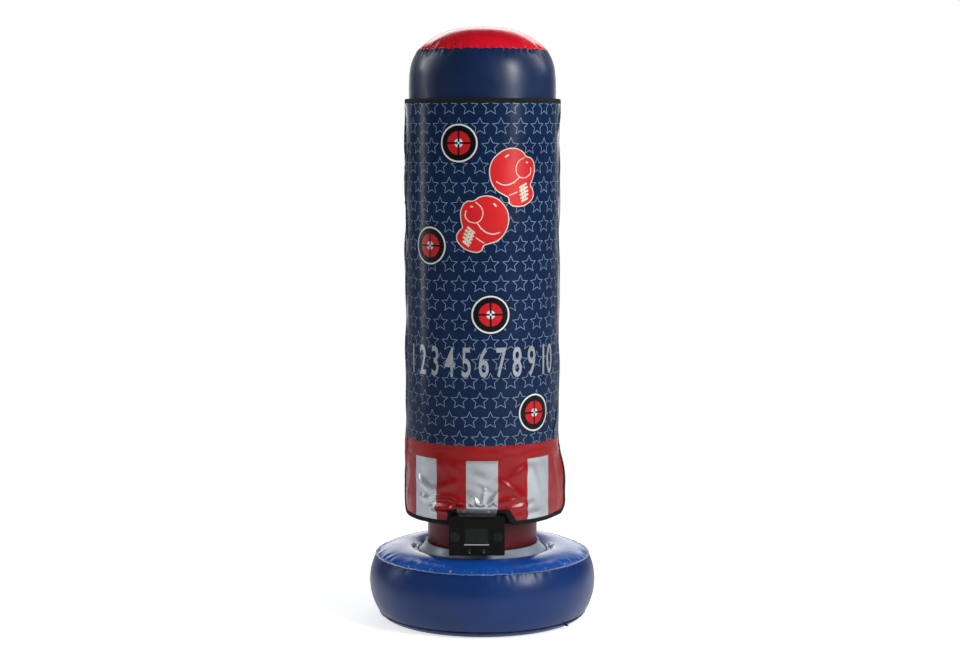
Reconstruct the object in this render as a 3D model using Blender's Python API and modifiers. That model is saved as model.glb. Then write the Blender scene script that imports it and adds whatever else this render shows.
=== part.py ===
"""Inflatable free-standing boxing bag with a scoring mat and its console.

Metres, +Z up.  The bag faces -Y.  The origin is the middle of the underside, on the floor.
"""

import math

import bmesh
import bpy
from mathutils import Matrix, Vector

# ---- Driving dimensions ------------------------------------------------------------------------

ROUND_STEPS = 40  # facets round the bag; every sheet that is bent round it shares them
GAP = 0.0003  # left between pieces that touch on the real bag
VINYL = 0.0012  # wall of every inflated panel
WELD_FLANGE = 0.003  # how far a welded seam stands out

# Base ring
BASE_WIDEST_R = 0.289
BASE_WIDEST_Z = 0.093
TOP_SEAM_INSET = 0.017  # from the widest radius in to the top seam
BASE_TOP_SEAM_Z = 0.163
BOTTOM_SEAM_INSET = 0.025
BASE_BOTTOM_SEAM_Z = 0.015
FLOOR_INSET = 0.051
BASE_CREST_Z = 0.185
BASE_WELL_Z = 0.172
CREST_RUN = 0.035  # from the bottom of the well out to the crest
GUSSET_RUN = 0.025  # from the neck out to the bottom of the well
BALLAST_TOP_Z = 0.095
BALLAST_WALL_GAP = 0.004

# Neck and column
NECK_R = 0.140
NECK_BOTTOM_Z = 0.1944
NECK_TOP_Z = 0.280
SHOULDER_TOP_Z = 0.360
COLUMN_R = 0.1855
BAG_HEIGHT = 1.500
DOME_RISE = 0.057
DOME_SEAM_INSET = 0.0235  # from the column's radius in to the dome's seam
CROWN_DROP = 0.113  # from the dome's seam down to where the column starts to draw in
DOME_POWER = 2.8
CROWN_POWER = 3.4
BUTT_GAP = 0.0006  # between the edges of two panels that are welded edge to edge
GUSSET_SAG = 0.001
COLLAR_GAP = 0.0009
COLLAR_INNER_R = NECK_R + COLLAR_GAP
COLLAR_WIDTH = 0.005
COLLAR_THICKNESS = 0.0014
COLLAR_Z = 0.1949  # the bag rocks about the middle of this collar

# Scoring mat, measured flat: s along its width, z up
MAT_HALF_WIDTH = 0.305
MAT_BOTTOM_Z = 0.268
MAT_TOP_DROP = 0.124  # from the dome's seam down to the mat
MAT_BOTTOM_CORNER = 0.034
MAT_TOP_CORNER = 0.018
CORNER_STEPS = 4
NOTCH_LEFT = (0.0030, 0.0055)  # foot and head, inwards from the console's left side
NOTCH_RIGHT = (0.0210, 0.0010)  # foot and head, outwards from the console's right side
MAT_CLEARANCE = 0.0003  # between the column and the binding's back lap
BINDING_WALL = 0.0008
BINDING_LAP = 0.010
BINDING_EDGE_GAP = 0.0004
LINING = 0.0008
RIBBON = 0.0006
FOAM = 0.0022
FACE_SHEET = 0.0008

# Impact sensors: (angle from the front in degrees, distance up from the mat's lower edge, or down
# from its upper edge where it is negative)
TARGETS = ((-17.5, -0.1075), (-42.0, -0.3590), (6.0, 0.5250), (42.0, 0.2770))
SENSOR_R = 0.045
SENSOR_THICKNESS = 0.0016
SENSOR_POCKET_GAP = 0.0010
RIBBON_WIDTH = 0.012
BRANCH_WIDTH = 0.008

# Back straps, placed up or down the mat as the sensors are
STRAP_PLACES = {"upper": -0.035, "middle": -0.489, "lower": 0.093}
STRAP_WIDTH = 0.038
STRAP_THICKNESS = 0.0012
STRAP_OVERLAP = 1.6  # facets by which each half passes the middle of the back
STRAP_END_GAP = 0.0004

# Console: its own frame has x to the right, y back from the front face, z up from its underside
CONSOLE_X = -0.014
CONSOLE_BACK_DEPTH = 0.0133  # how far its back reaches in behind the mat's outer face
CONSOLE_RISE = 0.0135  # above the base's crest
CONSOLE_W = 0.138
CONSOLE_H = 0.097
CONSOLE_D = 0.035
CONSOLE_WALL = 0.002
CONSOLE_ROUND = 0.003
SHELL_SPLIT = 0.017
BEZEL_RIM = 0.0075  # beside the screen
BEZEL_MARGIN_Z = 0.004
BEZEL_T = 0.0012
SCREEN_Z = 0.050
SCREEN_W = 0.057
SCREEN_H = 0.038
LENS_T = 0.0010
MODULE_RIM_X = 0.0025
MODULE_RIM_Z = 0.0030
TRIM_Z = 0.0265
TRIM_OVERHANG = 0.002  # past the screen on each side
TRIM_H = 0.0024
TRIM_T = 0.0006
BUTTON_X = 0.018
BUTTON_Z = 0.014
BUTTON_R = 0.0042
BUTTON_HOLE_GAP = 0.0004
BUTTON_TRAVEL = 0.0010
BUTTON_FLANGE_T = 0.0010
BUTTON_FLANGE_RIM = 0.0013
DOME_TIP_R = 0.0022
DOME_FOOT_R = 0.0040
BUTTON_PROUD = 0.0030
SPEAKER_INSET = 0.0153  # of its middle from the console's side
SPEAKER_Z = 0.046
SPEAKER_R = 0.0125
SPEAKER_DEPTH = 0.0057
GRILLE_HOLE_R = 0.0010
GRILLE_RINGS = ((0.0050, 5), (0.0100, 10))  # radius and number of holes
PCB_FRONT_Y = 0.0090
PCB_T = 0.0016
PCB_W = 0.076
PCB_BOTTOM_Z = 0.006
PCB_TOP_INSET = 0.007
STAKE_INSET_X = 0.005
STAKE_INSET_Z = 0.004
STAKE_R = 0.0010
STAKE_TIP = 0.0008
POST_R = 0.0024
RING_WALL = 0.0014
RING_DEPTH = 0.006
SILL = 0.002  # how far the case reaches inside the lens's edge
STUD_TIP = 0.0012
SHELL_SCREW_INSET = 0.0065
SHELL_SCREW_TIP_Y = 0.008
BOSS_R = 0.0032
SCREW_R = 0.0014
SCREW_HEAD_R = 0.0027
SCREW_HEAD_T = 0.0015
SCREW_GAP = 0.0002
RIBBON_SLOT_W = 0.016
RIBBON_SLOT_T = 0.003
RIBBON_TURN_DROP = 0.0185  # from the console's top down to the ribbon's turn
SOCKET_W = 0.018
SOCKET_H = 0.006
SOCKET_D = 0.004

# Batteries, size AAA
CELL_R = 0.00525
CELL_LENGTH = 0.0445
CELL_SPACING = 0.0007
CELL_COUNT = 3
CELL_LOWEST_Z = 0.03175
CELL_COVER = 0.00235  # between the cells and the door's pocket
CONTACT_ROOM = 0.00395  # at each end of the cells
BAY_GAP = 0.0004
BAY_WALL = 0.0020
BAY_FLOOR_T = 0.0015
CONTACT_SPRING_R = 0.0028
CONTACT_TIP_R = 0.0018
CONTACT_T = 0.0007
DOOR_RIM = 0.0028  # beside the battery bay
DOOR_SKIRT = 0.00735  # below the battery bay, where its screw is
DOOR_LIP = 0.00215  # above the battery bay
DOOR_T = 0.0019
DOOR_GAP = 0.0005
DOOR_TOP_GAP = 0.0008
DOOR_UNDER_GAP = 0.0007
DOOR_HINGE_DROP = 0.0010
DOOR_SCREW_RISE = 0.0032  # above the door's lower edge
DOOR_SCREW_LENGTH = 0.0055

# Hanger that clamps the console to the mat's lower edge
HANGER_W = 0.098
HANGER_RISE = 0.011  # above the notch
HANGER_T = 0.0012
HANGER_PLATE_W = 0.090
HANGER_PLATE_FRONT = 0.004
HANGER_PLATE_BACK = 0.034
RIVET_FACETS = {"left": -2, "right": 0}  # each rivet sits in the middle of a facet
RIVET_RISE = 0.0055  # above the notch
RIVET_R = 0.0020
RIVET_HEAD_R = 0.0036
RIVET_HEAD_T = 0.0010
RIVET_REACH = 0.010  # how far the cutters of the rivet holes pass the mat on each side
STUD_X = 0.030
STUD_Y = 0.009
STUD_R = 0.0016

# Valves: their own frame has z along the plug, out of the panel's surface
VALVE_FLANGE_R = 0.009
VALVE_FLANGE_T = 0.0008
VALVE_STEM_R = 0.0055
VALVE_BORE_R = 0.0035
VALVE_INSIDE = 0.006
VALVE_OUTSIDE = 0.005
PLUG_R = 0.0062
PLUG_T = 0.0020
PLUG_SPIGOT_R = 0.0032
VALVE_RUN = 0.011  # from the bottom of the well out to the base's valves
COLUMN_VALVE_DROP = 0.500  # from the top of the bag

# ---- Sizes that follow ------------------------------------------------------------------------------

FACET = 2 * math.pi / ROUND_STEPS
FLAT = math.cos(FACET / 2)  # distance of a facet from the middle, as a share of its corners'

BASE_TOP_SEAM_R = BASE_WIDEST_R - TOP_SEAM_INSET
BASE_BOTTOM_SEAM_R = BASE_WIDEST_R - BOTTOM_SEAM_INSET
BASE_FLOOR_R = BASE_WIDEST_R - FLOOR_INSET
BASE_WELL_R = NECK_R + GUSSET_RUN
BASE_CREST_R = BASE_WELL_R + CREST_RUN
VALVE_R = BASE_WELL_R + VALVE_RUN
DOME_SEAM_R = COLUMN_R - DOME_SEAM_INSET
DOME_SEAM_Z = BAG_HEIGHT - DOME_RISE
COLUMN_VALVE_Z = BAG_HEIGHT - COLUMN_VALVE_DROP
MAT_TOP_Z = DOME_SEAM_Z - MAT_TOP_DROP

# Radii of the mat's layers, from the column outwards
BACK_LAP_R = COLUMN_R + MAT_CLEARANCE
LINING_R = BACK_LAP_R + BINDING_WALL + GAP
RIBBON_R = LINING_R + LINING + GAP
FOAM_R = RIBBON_R + RIBBON + GAP
FACE_R = FOAM_R + FOAM + GAP
FRONT_LAP_R = FACE_R + FACE_SHEET + GAP
MAT_OUTER_R = FRONT_LAP_R + BINDING_WALL
BEND_R = FOAM_R + FOAM / 2  # widths along the mat keep their flat length at this radius

# The console clears the base's crest, and the mat's notch clears the console
CONSOLE_FRONT_Y = CONSOLE_BACK_DEPTH - MAT_OUTER_R - CONSOLE_D
CONSOLE_Z = BASE_CREST_Z + CONSOLE_RISE
CONSOLE_TOP_Z = CONSOLE_Z + CONSOLE_H
NOTCH_Z = CONSOLE_TOP_Z + 2 * GAP + HANGER_T + BINDING_WALL + BINDING_EDGE_GAP
BEZEL_W = SCREEN_W + 2 * BEZEL_RIM
TRIM_W = SCREEN_W + 2 * TRIM_OVERHANG
SPEAKER_X = CONSOLE_W / 2 - SPEAKER_INSET
PCB_TOP_Z = CONSOLE_H - PCB_TOP_INSET
STAKE_X = PCB_W / 2 - STAKE_INSET_X
STAKE_Z = (PCB_BOTTOM_Z + STAKE_INSET_Z, PCB_TOP_Z - STAKE_INSET_Z)
SHELL_SCREW_X = CONSOLE_W / 2 - SHELL_SCREW_INSET
SHELL_SCREW_Z = (SHELL_SCREW_INSET, CONSOLE_H - SHELL_SCREW_INSET)
RIBBON_TURN_Z = CONSOLE_H - RIBBON_TURN_DROP

# The battery bay opens into the pocket that its door closes
DOOR_POCKET_Y = CONSOLE_D - DOOR_T - GAP / 2 - DOOR_UNDER_GAP
CELL_PITCH = 2 * CELL_R + CELL_SPACING
CELL_FIRST_Z = CELL_LOWEST_Z + CELL_R
CELL_Y = DOOR_POCKET_Y - CELL_COVER - CELL_R
BAY_HALF_W = CELL_LENGTH / 2 + CONTACT_ROOM
BAY_BOTTOM_Z = CELL_LOWEST_Z - BAY_GAP
BAY_TOP_Z = CELL_FIRST_Z + (CELL_COUNT - 1) * CELL_PITCH + CELL_R + BAY_GAP
DOOR_W = 2 * (BAY_HALF_W + DOOR_RIM)
DOOR_BOTTOM_Z = BAY_BOTTOM_Z - DOOR_SKIRT
DOOR_TOP_Z = BAY_TOP_Z + DOOR_LIP
DOOR_SCREW_Z = DOOR_BOTTOM_Z + DOOR_SCREW_RISE

# ---- Scene and materials ----------------------------------------------------------------------------

FINISHES = {
    "navy_vinyl": ((0.010, 0.030, 0.090), 0.30, 0.0),
    "blue_vinyl": ((0.015, 0.035, 0.200), 0.25, 0.0),
    "red_vinyl": ((0.750, 0.010, 0.030), 0.25, 0.0),
    "dark_red_vinyl": ((0.110, 0.010, 0.012), 0.30, 0.0),
    "printed_vinyl": ((0.012, 0.030, 0.095), 0.30, 0.0),
    "lining_cloth": ((0.020, 0.020, 0.022), 0.90, 0.0),
    "foam": ((0.600, 0.600, 0.580), 0.95, 0.0),
    "webbing": ((0.012, 0.012, 0.012), 0.85, 0.0),
    "sensor_film": ((0.550, 0.420, 0.150), 0.50, 0.0),
    "ribbon_cable": ((0.450, 0.450, 0.450), 0.50, 0.0),
    "ballast": ((0.300, 0.330, 0.350), 0.90, 0.0),
    "valve_plastic": ((0.700, 0.720, 0.750), 0.40, 0.0),
    "black_plastic": ((0.010, 0.010, 0.011), 0.45, 0.0),
    "silver_trim": ((0.600, 0.600, 0.620), 0.30, 0.9),
    "lens": ((0.020, 0.022, 0.024), 0.08, 0.0),
    "circuit_board": ((0.020, 0.150, 0.040), 0.50, 0.0),
    "display": ((0.180, 0.200, 0.160), 0.40, 0.0),
    "silicone": ((0.250, 0.250, 0.260), 0.70, 0.0),
    "steel": ((0.550, 0.550, 0.560), 0.35, 1.0),
    "cell_jacket": ((0.100, 0.110, 0.130), 0.35, 0.3),
}


def clear_scene():
    for obj in list(bpy.data.objects):
        bpy.data.objects.remove(obj, do_unlink=True)


def new_collection(name):
    collection = bpy.data.collections.new(name)
    bpy.context.scene.collection.children.link(collection)
    return collection


def new_material(name, colour, roughness, metallic):
    material = bpy.data.materials.new(name)
    material.use_nodes = True
    shader = material.node_tree.nodes["Principled BSDF"]
    shader.inputs["Base Color"].default_value = (*colour, 1.0)
    shader.inputs["Roughness"].default_value = roughness
    shader.inputs["Metallic"].default_value = metallic
    return material


clear_scene()
PARTS = new_collection("boxing_bag")
CUTTERS = new_collection("cutters")
MATERIALS = {name: new_material(name, *finish) for name, finish in FINISHES.items()}


# ---- Modelling helpers --------------------------------------------------------------------------------


def new_empty(name, location, rotation=(0.0, 0.0, 0.0), parent=None):
    """A frame that pieces are placed in; a moving piece's empty lies on its joint's axis."""
    empty = bpy.data.objects.new(name, None)
    empty.empty_display_size = 0.02
    empty.location = location
    empty.rotation_euler = rotation
    empty.parent = parent
    PARTS.objects.link(empty)
    return empty


def new_part(name, mesh, finish, parent=None, offset=(0.0, 0.0, 0.0)):
    """A named piece. offset moves it back where its parent stands away from the mesh's own frame."""
    part = bpy.data.objects.new(name, mesh)
    part.data.materials.append(MATERIALS[finish])
    part.location = offset
    part.parent = parent
    PARTS.objects.link(part)
    return part


def mesh_from(bm, name):
    bmesh.ops.recalc_face_normals(bm, faces=bm.faces)
    mesh = bpy.data.meshes.new(name)
    bm.to_mesh(mesh)
    bm.free()
    mesh.shade_smooth()
    mesh.set_sharp_from_angle(angle=math.radians(35))
    return mesh


def add_box(bm, low, high):
    low, high = Vector(low), Vector(high)
    size = Matrix.Diagonal((*(high - low), 1.0))
    bmesh.ops.create_cube(bm, size=1.0, matrix=Matrix.Translation((low + high) / 2) @ size)


def add_rod(bm, start, end, radius, sides=12, end_radius=None):
    """A cylinder, or a cone where end_radius is given, from start to end."""
    start, end = Vector(start), Vector(end)
    turn = (end - start).to_track_quat("Z", "Y").to_matrix().to_4x4()
    bmesh.ops.create_cone(
        bm,
        cap_ends=True,
        segments=sides,
        radius1=radius,
        radius2=radius if end_radius is None else end_radius,
        depth=(end - start).length,
        matrix=Matrix.Translation((start + end) / 2) @ turn,
    )


def boolean(part, operation, bm, name):
    """Cuts or joins the shapes in bm, given in the part's own frame."""
    operand = bpy.data.objects.new(name, mesh_from(bm, name))
    operand.hide_render = True
    operand.display_type = "WIRE"
    operand.parent = part
    CUTTERS.objects.link(operand)
    modifier = part.modifiers.new(name, "BOOLEAN")
    modifier.operation = operation
    modifier.solver = "EXACT"
    modifier.object = operand


def cut(part, bm, name):
    boolean(part, "DIFFERENCE", bm, f"{part.name}_{name}")


def join(part, bm, name):
    boolean(part, "UNION", bm, f"{part.name}_{name}")


def arc_through(start, middle, end, steps):
    """Points along the circle through three (r, z) points, both ends included."""
    (ax, ay), (bx, by), (cx, cy) = start, middle, end
    d = 2 * (ax * (by - cy) + bx * (cy - ay) + cx * (ay - by))
    a2, b2, c2 = ax * ax + ay * ay, bx * bx + by * by, cx * cx + cy * cy
    ux = (a2 * (by - cy) + b2 * (cy - ay) + c2 * (ay - by)) / d
    uy = (a2 * (cx - bx) + b2 * (ax - cx) + c2 * (bx - ax)) / d
    radius = math.hypot(ax - ux, ay - uy)
    first = math.atan2(ay - uy, ax - ux)
    last = math.atan2(cy - uy, cx - ux)
    angles = [first + (last - first) * i / steps for i in range(steps + 1)]
    return [(ux + radius * math.cos(a), uy + radius * math.sin(a)) for a in angles]


def crest_arc(crest, edge, steps):
    """Points of the circle that is level at crest and passes through edge, both ends included."""
    run, drop = edge[0] - crest[0], crest[1] - edge[1]
    radius = (run * run + drop * drop) / (2 * drop)
    sweep = math.asin(abs(run) / radius)
    side = math.copysign(1.0, run)
    angles = [sweep * i / steps for i in range(steps + 1)]
    return [
        (crest[0] + side * radius * math.sin(a), crest[1] - radius * (1 - math.cos(a)))
        for a in angles
    ]


def turned(name, profile, finish, wall=None, closed=False, parent=None, offset=(0.0, 0.0, 0.0)):
    """A profile of (r, z) points turned about Z, running down its outer side; wall gives a sheet."""
    edges = [(i, i + 1) for i in range(len(profile) - 1)]
    if closed:
        edges.append((len(profile) - 1, 0))
    mesh = bpy.data.meshes.new(name)
    mesh.from_pydata([(r, 0.0, z) for r, z in profile], edges, [])
    part = new_part(name, mesh, finish, parent, offset)
    screw = part.modifiers.new("Turn", "SCREW")
    screw.steps = ROUND_STEPS
    screw.render_steps = ROUND_STEPS
    screw.use_merge_vertices = True
    screw.merge_threshold = 0.00001
    screw.use_smooth_shade = True
    if wall:
        sheet = part.modifiers.new("Sheet", "SOLIDIFY")
        sheet.thickness = wall
        sheet.offset = -1.0
        sheet.use_even_offset = True
    return part


def bend_point(s, radius, z):
    """Where a point of a flat sheet goes when the sheet is bent round the faceted bag."""
    angle = s / BEND_R
    facet_middle = (math.floor(angle / FACET) + 0.5) * FACET
    on_facet = radius * FLAT / math.cos(angle - facet_middle)
    return (on_facet * math.sin(angle), -on_facet * math.cos(angle), z)


def bent_sheet(outline, inner_r, thickness, lift=None):
    """A flat outline of (s, z) points given a thickness and bent round the bag.

    lift(s) adds to the radius, for a strap that climbs over another.
    """
    bm = bmesh.new()
    bm.faces.new([bm.verts.new((s, 0.0, z)) for s, z in outline])
    first = math.ceil(min(s for s, _ in outline) / (FACET * BEND_R))
    last = math.floor(max(s for s, _ in outline) / (FACET * BEND_R))
    for line in range(first, last + 1):
        bmesh.ops.bisect_plane(
            bm,
            geom=bm.verts[:] + bm.edges[:] + bm.faces[:],
            dist=0.00001,
            plane_co=(line * FACET * BEND_R, 0.0, 0.0),
            plane_no=(1.0, 0.0, 0.0),
        )
    grown = bmesh.ops.extrude_face_region(bm, geom=bm.faces[:])
    for item in grown["geom"]:
        if isinstance(item, bmesh.types.BMVert):
            item.co.y = thickness
    for vert in bm.verts:
        s, depth, z = vert.co
        rise = lift(s) if lift else 0.0
        vert.co = bend_point(s, inner_r + depth + rise, z)
    return bm


def rectangle(s_low, s_high, z_low, z_high):
    return [(s_low, z_low), (s_high, z_low), (s_high, z_high), (s_low, z_high)]


def disc(s, z, radius, sides=24):
    angles = [2 * math.pi * i / sides for i in range(sides)]
    return [(s + radius * math.cos(a), z + radius * math.sin(a)) for a in angles]


def rounded_corner(s, z, radius, first_deg):
    """A quarter circle about (s, z), anticlockwise."""
    angles = [math.radians(first_deg + 90.0 * i / CORNER_STEPS) for i in range(CORNER_STEPS + 1)]
    return [(s + radius * math.cos(a), z + radius * math.sin(a)) for a in angles]


def mat_outline(grow=0.0):
    """The mat's edge, anticlockwise from its left side, moved outwards by grow."""
    low, high = MAT_BOTTOM_CORNER, MAT_TOP_CORNER
    side = MAT_HALF_WIDTH
    left, right = CONSOLE_X - CONSOLE_W / 2, CONSOLE_X + CONSOLE_W / 2
    outline = rounded_corner(-side + low, MAT_BOTTOM_Z + low, low + grow, 180)
    outline += [
        (left + NOTCH_LEFT[0] + grow, MAT_BOTTOM_Z - grow),
        (left + NOTCH_LEFT[1] + grow, NOTCH_Z - grow),
        (right + NOTCH_RIGHT[1] - grow, NOTCH_Z - grow),
        (right + NOTCH_RIGHT[0] - grow, MAT_BOTTOM_Z - grow),
    ]
    outline += rounded_corner(side - low, MAT_BOTTOM_Z + low, low + grow, 270)
    outline += rounded_corner(side - high, MAT_TOP_Z - high, high + grow, 0)
    outline += rounded_corner(-side + high, MAT_TOP_Z - high, high + grow, 90)
    return outline


def mat_height(place):
    return place + (MAT_TOP_Z if place < 0 else MAT_BOTTOM_Z)


def target_place(target):
    angle, place = target
    return math.radians(angle) * BEND_R, mat_height(place)


# ---- Base -----------------------------------------------------------------------------------------------


def base_side_panel():
    top = BASE_TOP_SEAM_Z - GAP / 2 - VINYL
    bottom = BASE_BOTTOM_SEAM_Z + GAP / 2 + VINYL
    bulge = arc_through(
        (BASE_TOP_SEAM_R, top), (BASE_WIDEST_R, BASE_WIDEST_Z), (BASE_BOTTOM_SEAM_R, bottom), 6
    )
    profile = [(BASE_TOP_SEAM_R + WELD_FLANGE, top)]
    profile += bulge
    profile += [(BASE_BOTTOM_SEAM_R + WELD_FLANGE, bottom)]
    return turned("base_side_panel", profile, "blue_vinyl", wall=VINYL)


def base_top_panel():
    seam_z = BASE_TOP_SEAM_Z + GAP / 2 + VINYL
    crest = (BASE_CREST_R, BASE_CREST_Z)
    inner = crest_arc(crest, (BASE_WELL_R, BASE_WELL_Z), 3)
    outer = crest_arc(crest, (BASE_TOP_SEAM_R, seam_z), 3)
    profile = inner[:0:-1] + outer + [(BASE_TOP_SEAM_R + WELD_FLANGE, seam_z)]
    panel = turned("base_top_panel", profile, "blue_vinyl", wall=VINYL)
    for side, seat in (("left", base_valve_seat(-1.0)), ("right", base_valve_seat(1.0))):
        bore = bmesh.new()
        axis = seat.to_3x3() @ Vector((0.0, 0.0, 1.0))
        middle = seat.translation
        reach = axis * 2 * VALVE_INSIDE
        add_rod(bore, middle - reach, middle + reach, VALVE_STEM_R + 2 * GAP)
        cut(panel, bore, f"{side}_valve_hole")
    return panel


def base_bottom_panel():
    seam_z = BASE_BOTTOM_SEAM_Z - GAP / 2
    rise = crest_arc((BASE_FLOOR_R, -VINYL), (BASE_BOTTOM_SEAM_R, -seam_z), 2)
    profile = [(BASE_BOTTOM_SEAM_R + WELD_FLANGE, seam_z)]
    profile += [(r, -z) for r, z in rise[::-1]] + [(0.0, VINYL)]
    panel = turned("base_bottom_panel", profile, "blue_vinyl", wall=VINYL)
    panel.modifiers["Sheet"].offset = 1.0
    return panel


def base_ballast():
    floor = VINYL + GAP
    low_r = BASE_FLOOR_R - BALLAST_WALL_GAP
    side_r = BASE_BOTTOM_SEAM_R - BALLAST_WALL_GAP
    side_z = BASE_BOTTOM_SEAM_Z + BALLAST_WALL_GAP + 2 * VINYL
    profile = [(0.0, BALLAST_TOP_Z), (side_r, BALLAST_TOP_Z), (side_r, side_z), (low_r, floor)]
    profile += [(0.0, floor)]
    return turned("base_ballast", profile, "ballast")


def neck_gusset():
    head = (COLLAR_INNER_R + COLLAR_WIDTH / 2, COLLAR_Z - COLLAR_THICKNESS / 2 - 2 * GAP)
    foot = (BASE_WELL_R - BUTT_GAP, BASE_WELL_Z - GAP)
    middle = (
        (head[0] + foot[0]) / 2 - GUSSET_SAG,
        (head[1] + foot[1]) / 2 - GUSSET_SAG,
    )
    return turned("neck_gusset", [head, middle, foot], "blue_vinyl", wall=VINYL)


def neck_weld_collar(parent):
    inner, outer = COLLAR_INNER_R, COLLAR_INNER_R + COLLAR_WIDTH
    half = COLLAR_THICKNESS / 2
    profile = [(outer, half), (outer, -half), (inner, -half), (inner, half)]
    return turned("neck_weld_collar", profile, "dark_red_vinyl", closed=True, parent=parent)


# ---- Column ---------------------------------------------------------------------------------------------


def shoulder_profile():
    """The neck widens to the column along half a cosine wave."""
    steps = 5
    points = []
    for i in range(steps + 1):
        share = 1 - i / steps
        z = NECK_TOP_Z + (SHOULDER_TOP_Z - NECK_TOP_Z) * share
        points.append((NECK_R + (COLUMN_R - NECK_R) * (1 - math.cos(math.pi * share)) / 2, z))
    return points


def crown_profile():
    """The column's side draws in towards the dome's seam."""
    steps = 5
    points = []
    for i in range(steps + 1):
        share = (1 - i / steps) ** 0.6
        z = DOME_SEAM_Z - CROWN_DROP * (1 - share)
        points.append((COLUMN_R - (COLUMN_R - DOME_SEAM_R) * share**CROWN_POWER, z))
    return points


def dome_profile():
    steps = 5
    rise = DOME_RISE - BUTT_GAP
    edge = DOME_SEAM_R - BUTT_GAP
    points = []
    for i in range(steps + 1):
        share = (i / steps) ** 0.75
        points.append((edge * share, BAG_HEIGHT - rise * share**DOME_POWER))
    return points


def bag_panels(pivot):
    down = (0.0, 0.0, -COLLAR_Z)
    turned("column_top_panel", dome_profile(), "red_vinyl", VINYL, parent=pivot, offset=down)
    side = crown_profile() + [(COLUMN_R, SHOULDER_TOP_Z + BUTT_GAP)]
    column = turned("column_side_panel", side, "navy_vinyl", VINYL, parent=pivot, offset=down)
    bore = bmesh.new()
    back = COLUMN_R
    hole_r = VALVE_STEM_R + 2 * GAP
    reach = 2 * VALVE_INSIDE
    ends = (0, back - reach, COLUMN_VALVE_Z), (0, back + reach, COLUMN_VALVE_Z)
    add_rod(bore, *ends, hole_r)
    cut(column, bore, "valve_hole")
    shoulder = shoulder_profile()
    turned("shoulder_panel", shoulder, "dark_red_vinyl", VINYL, parent=pivot, offset=down)
    neck = [(NECK_R, NECK_TOP_Z - BUTT_GAP), (NECK_R, NECK_BOTTOM_Z)]
    turned("neck_panel", neck, "dark_red_vinyl", VINYL, parent=pivot, offset=down)
    rim = NECK_R - VINYL - GAP
    top, bottom = NECK_BOTTOM_Z + 2 * VINYL, NECK_BOTTOM_Z + VINYL
    disc_profile = [(0.0, top), (rim, top), (rim, bottom), (0.0, bottom)]
    turned("column_bottom_panel", disc_profile, "navy_vinyl", parent=pivot, offset=down)


# ---- Valves -----------------------------------------------------------------------------------------------


def base_valve_seat(side):
    """The frame of a valve on the ring's inner slope, with z square to the slope."""
    run = BASE_CREST_R - BASE_WELL_R
    drop = BASE_CREST_Z - BASE_WELL_Z
    radius = (run * run + drop * drop) / (2 * drop)
    tilt = math.asin((BASE_CREST_R - VALVE_R) / radius)
    z = BASE_CREST_Z - radius * (1 - math.cos(tilt))
    return Matrix.Translation((side * VALVE_R, 0.0, z)) @ Matrix.Rotation(-side * tilt, 4, "Y")


def valve(body_name, plug_name, seat, parent=None):
    """A welded valve and the plug that pulls straight out of it."""
    place = new_empty(f"{body_name}_seat", seat.translation, seat.to_euler(), parent)
    bm = bmesh.new()
    add_rod(bm, (0, 0, -VALVE_INSIDE), (0, 0, VALVE_OUTSIDE), VALVE_STEM_R)
    body = new_part(body_name, mesh_from(bm, body_name), "valve_plastic", place)
    flange = bmesh.new()
    add_rod(flange, (0, 0, GAP), (0, 0, GAP + VALVE_FLANGE_T), VALVE_FLANGE_R, 24)
    join(body, flange, "flange")
    bore = bmesh.new()
    add_rod(bore, (0, 0, -2 * VALVE_INSIDE), (0, 0, 2 * VALVE_OUTSIDE), VALVE_BORE_R)
    cut(body, bore, "bore")
    cap_z = VALVE_OUTSIDE + GAP
    bm = bmesh.new()
    add_rod(bm, (0, 0, cap_z), (0, 0, cap_z + PLUG_T), PLUG_R, 24)
    plug = new_part(plug_name, mesh_from(bm, plug_name), "valve_plastic", place)
    spigot = bmesh.new()
    add_rod(spigot, (0, 0, -VALVE_INSIDE / 3), (0, 0, cap_z + PLUG_T / 2), PLUG_SPIGOT_R)
    join(plug, spigot, "spigot")


# ---- Scoring mat ------------------------------------------------------------------------------------------


def radial_rod(bm, s, z, from_r, to_r, radius, sides=10):
    """A rod square to the facet that holds s."""
    angle = s / BEND_R
    square = (math.floor(angle / FACET) + 0.5) * FACET
    out = Vector((math.sin(square), -math.cos(square), 0.0))
    seat = Vector(bend_point(s, COLUMN_R, z))
    start, end = (seat + out * (r - COLUMN_R) * FLAT for r in (from_r, to_r))
    add_rod(bm, start, end, radius, sides)


def rivet_places():
    return [(side, (facet + 0.5) * FACET * BEND_R) for side, facet in RIVET_FACETS.items()]


def cut_rivet_holes(part, lift=0.0):
    for side, s in rivet_places():
        bm = bmesh.new()
        reach = (COLUMN_R - RIVET_REACH, MAT_OUTER_R + RIVET_REACH)
        radial_rod(bm, s, NOTCH_Z + RIVET_RISE - lift, *reach, RIVET_R + GAP)
        cut(part, bm, f"{side}_rivet_hole")


def mat_sheet(name, outline, inner_r, thickness, finish, pivot):
    bm = bent_sheet(outline, inner_r, thickness)
    bmesh.ops.translate(bm, verts=bm.verts, vec=(0.0, 0.0, -COLLAR_Z))
    return new_part(name, mesh_from(bm, name), finish, pivot)


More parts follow.
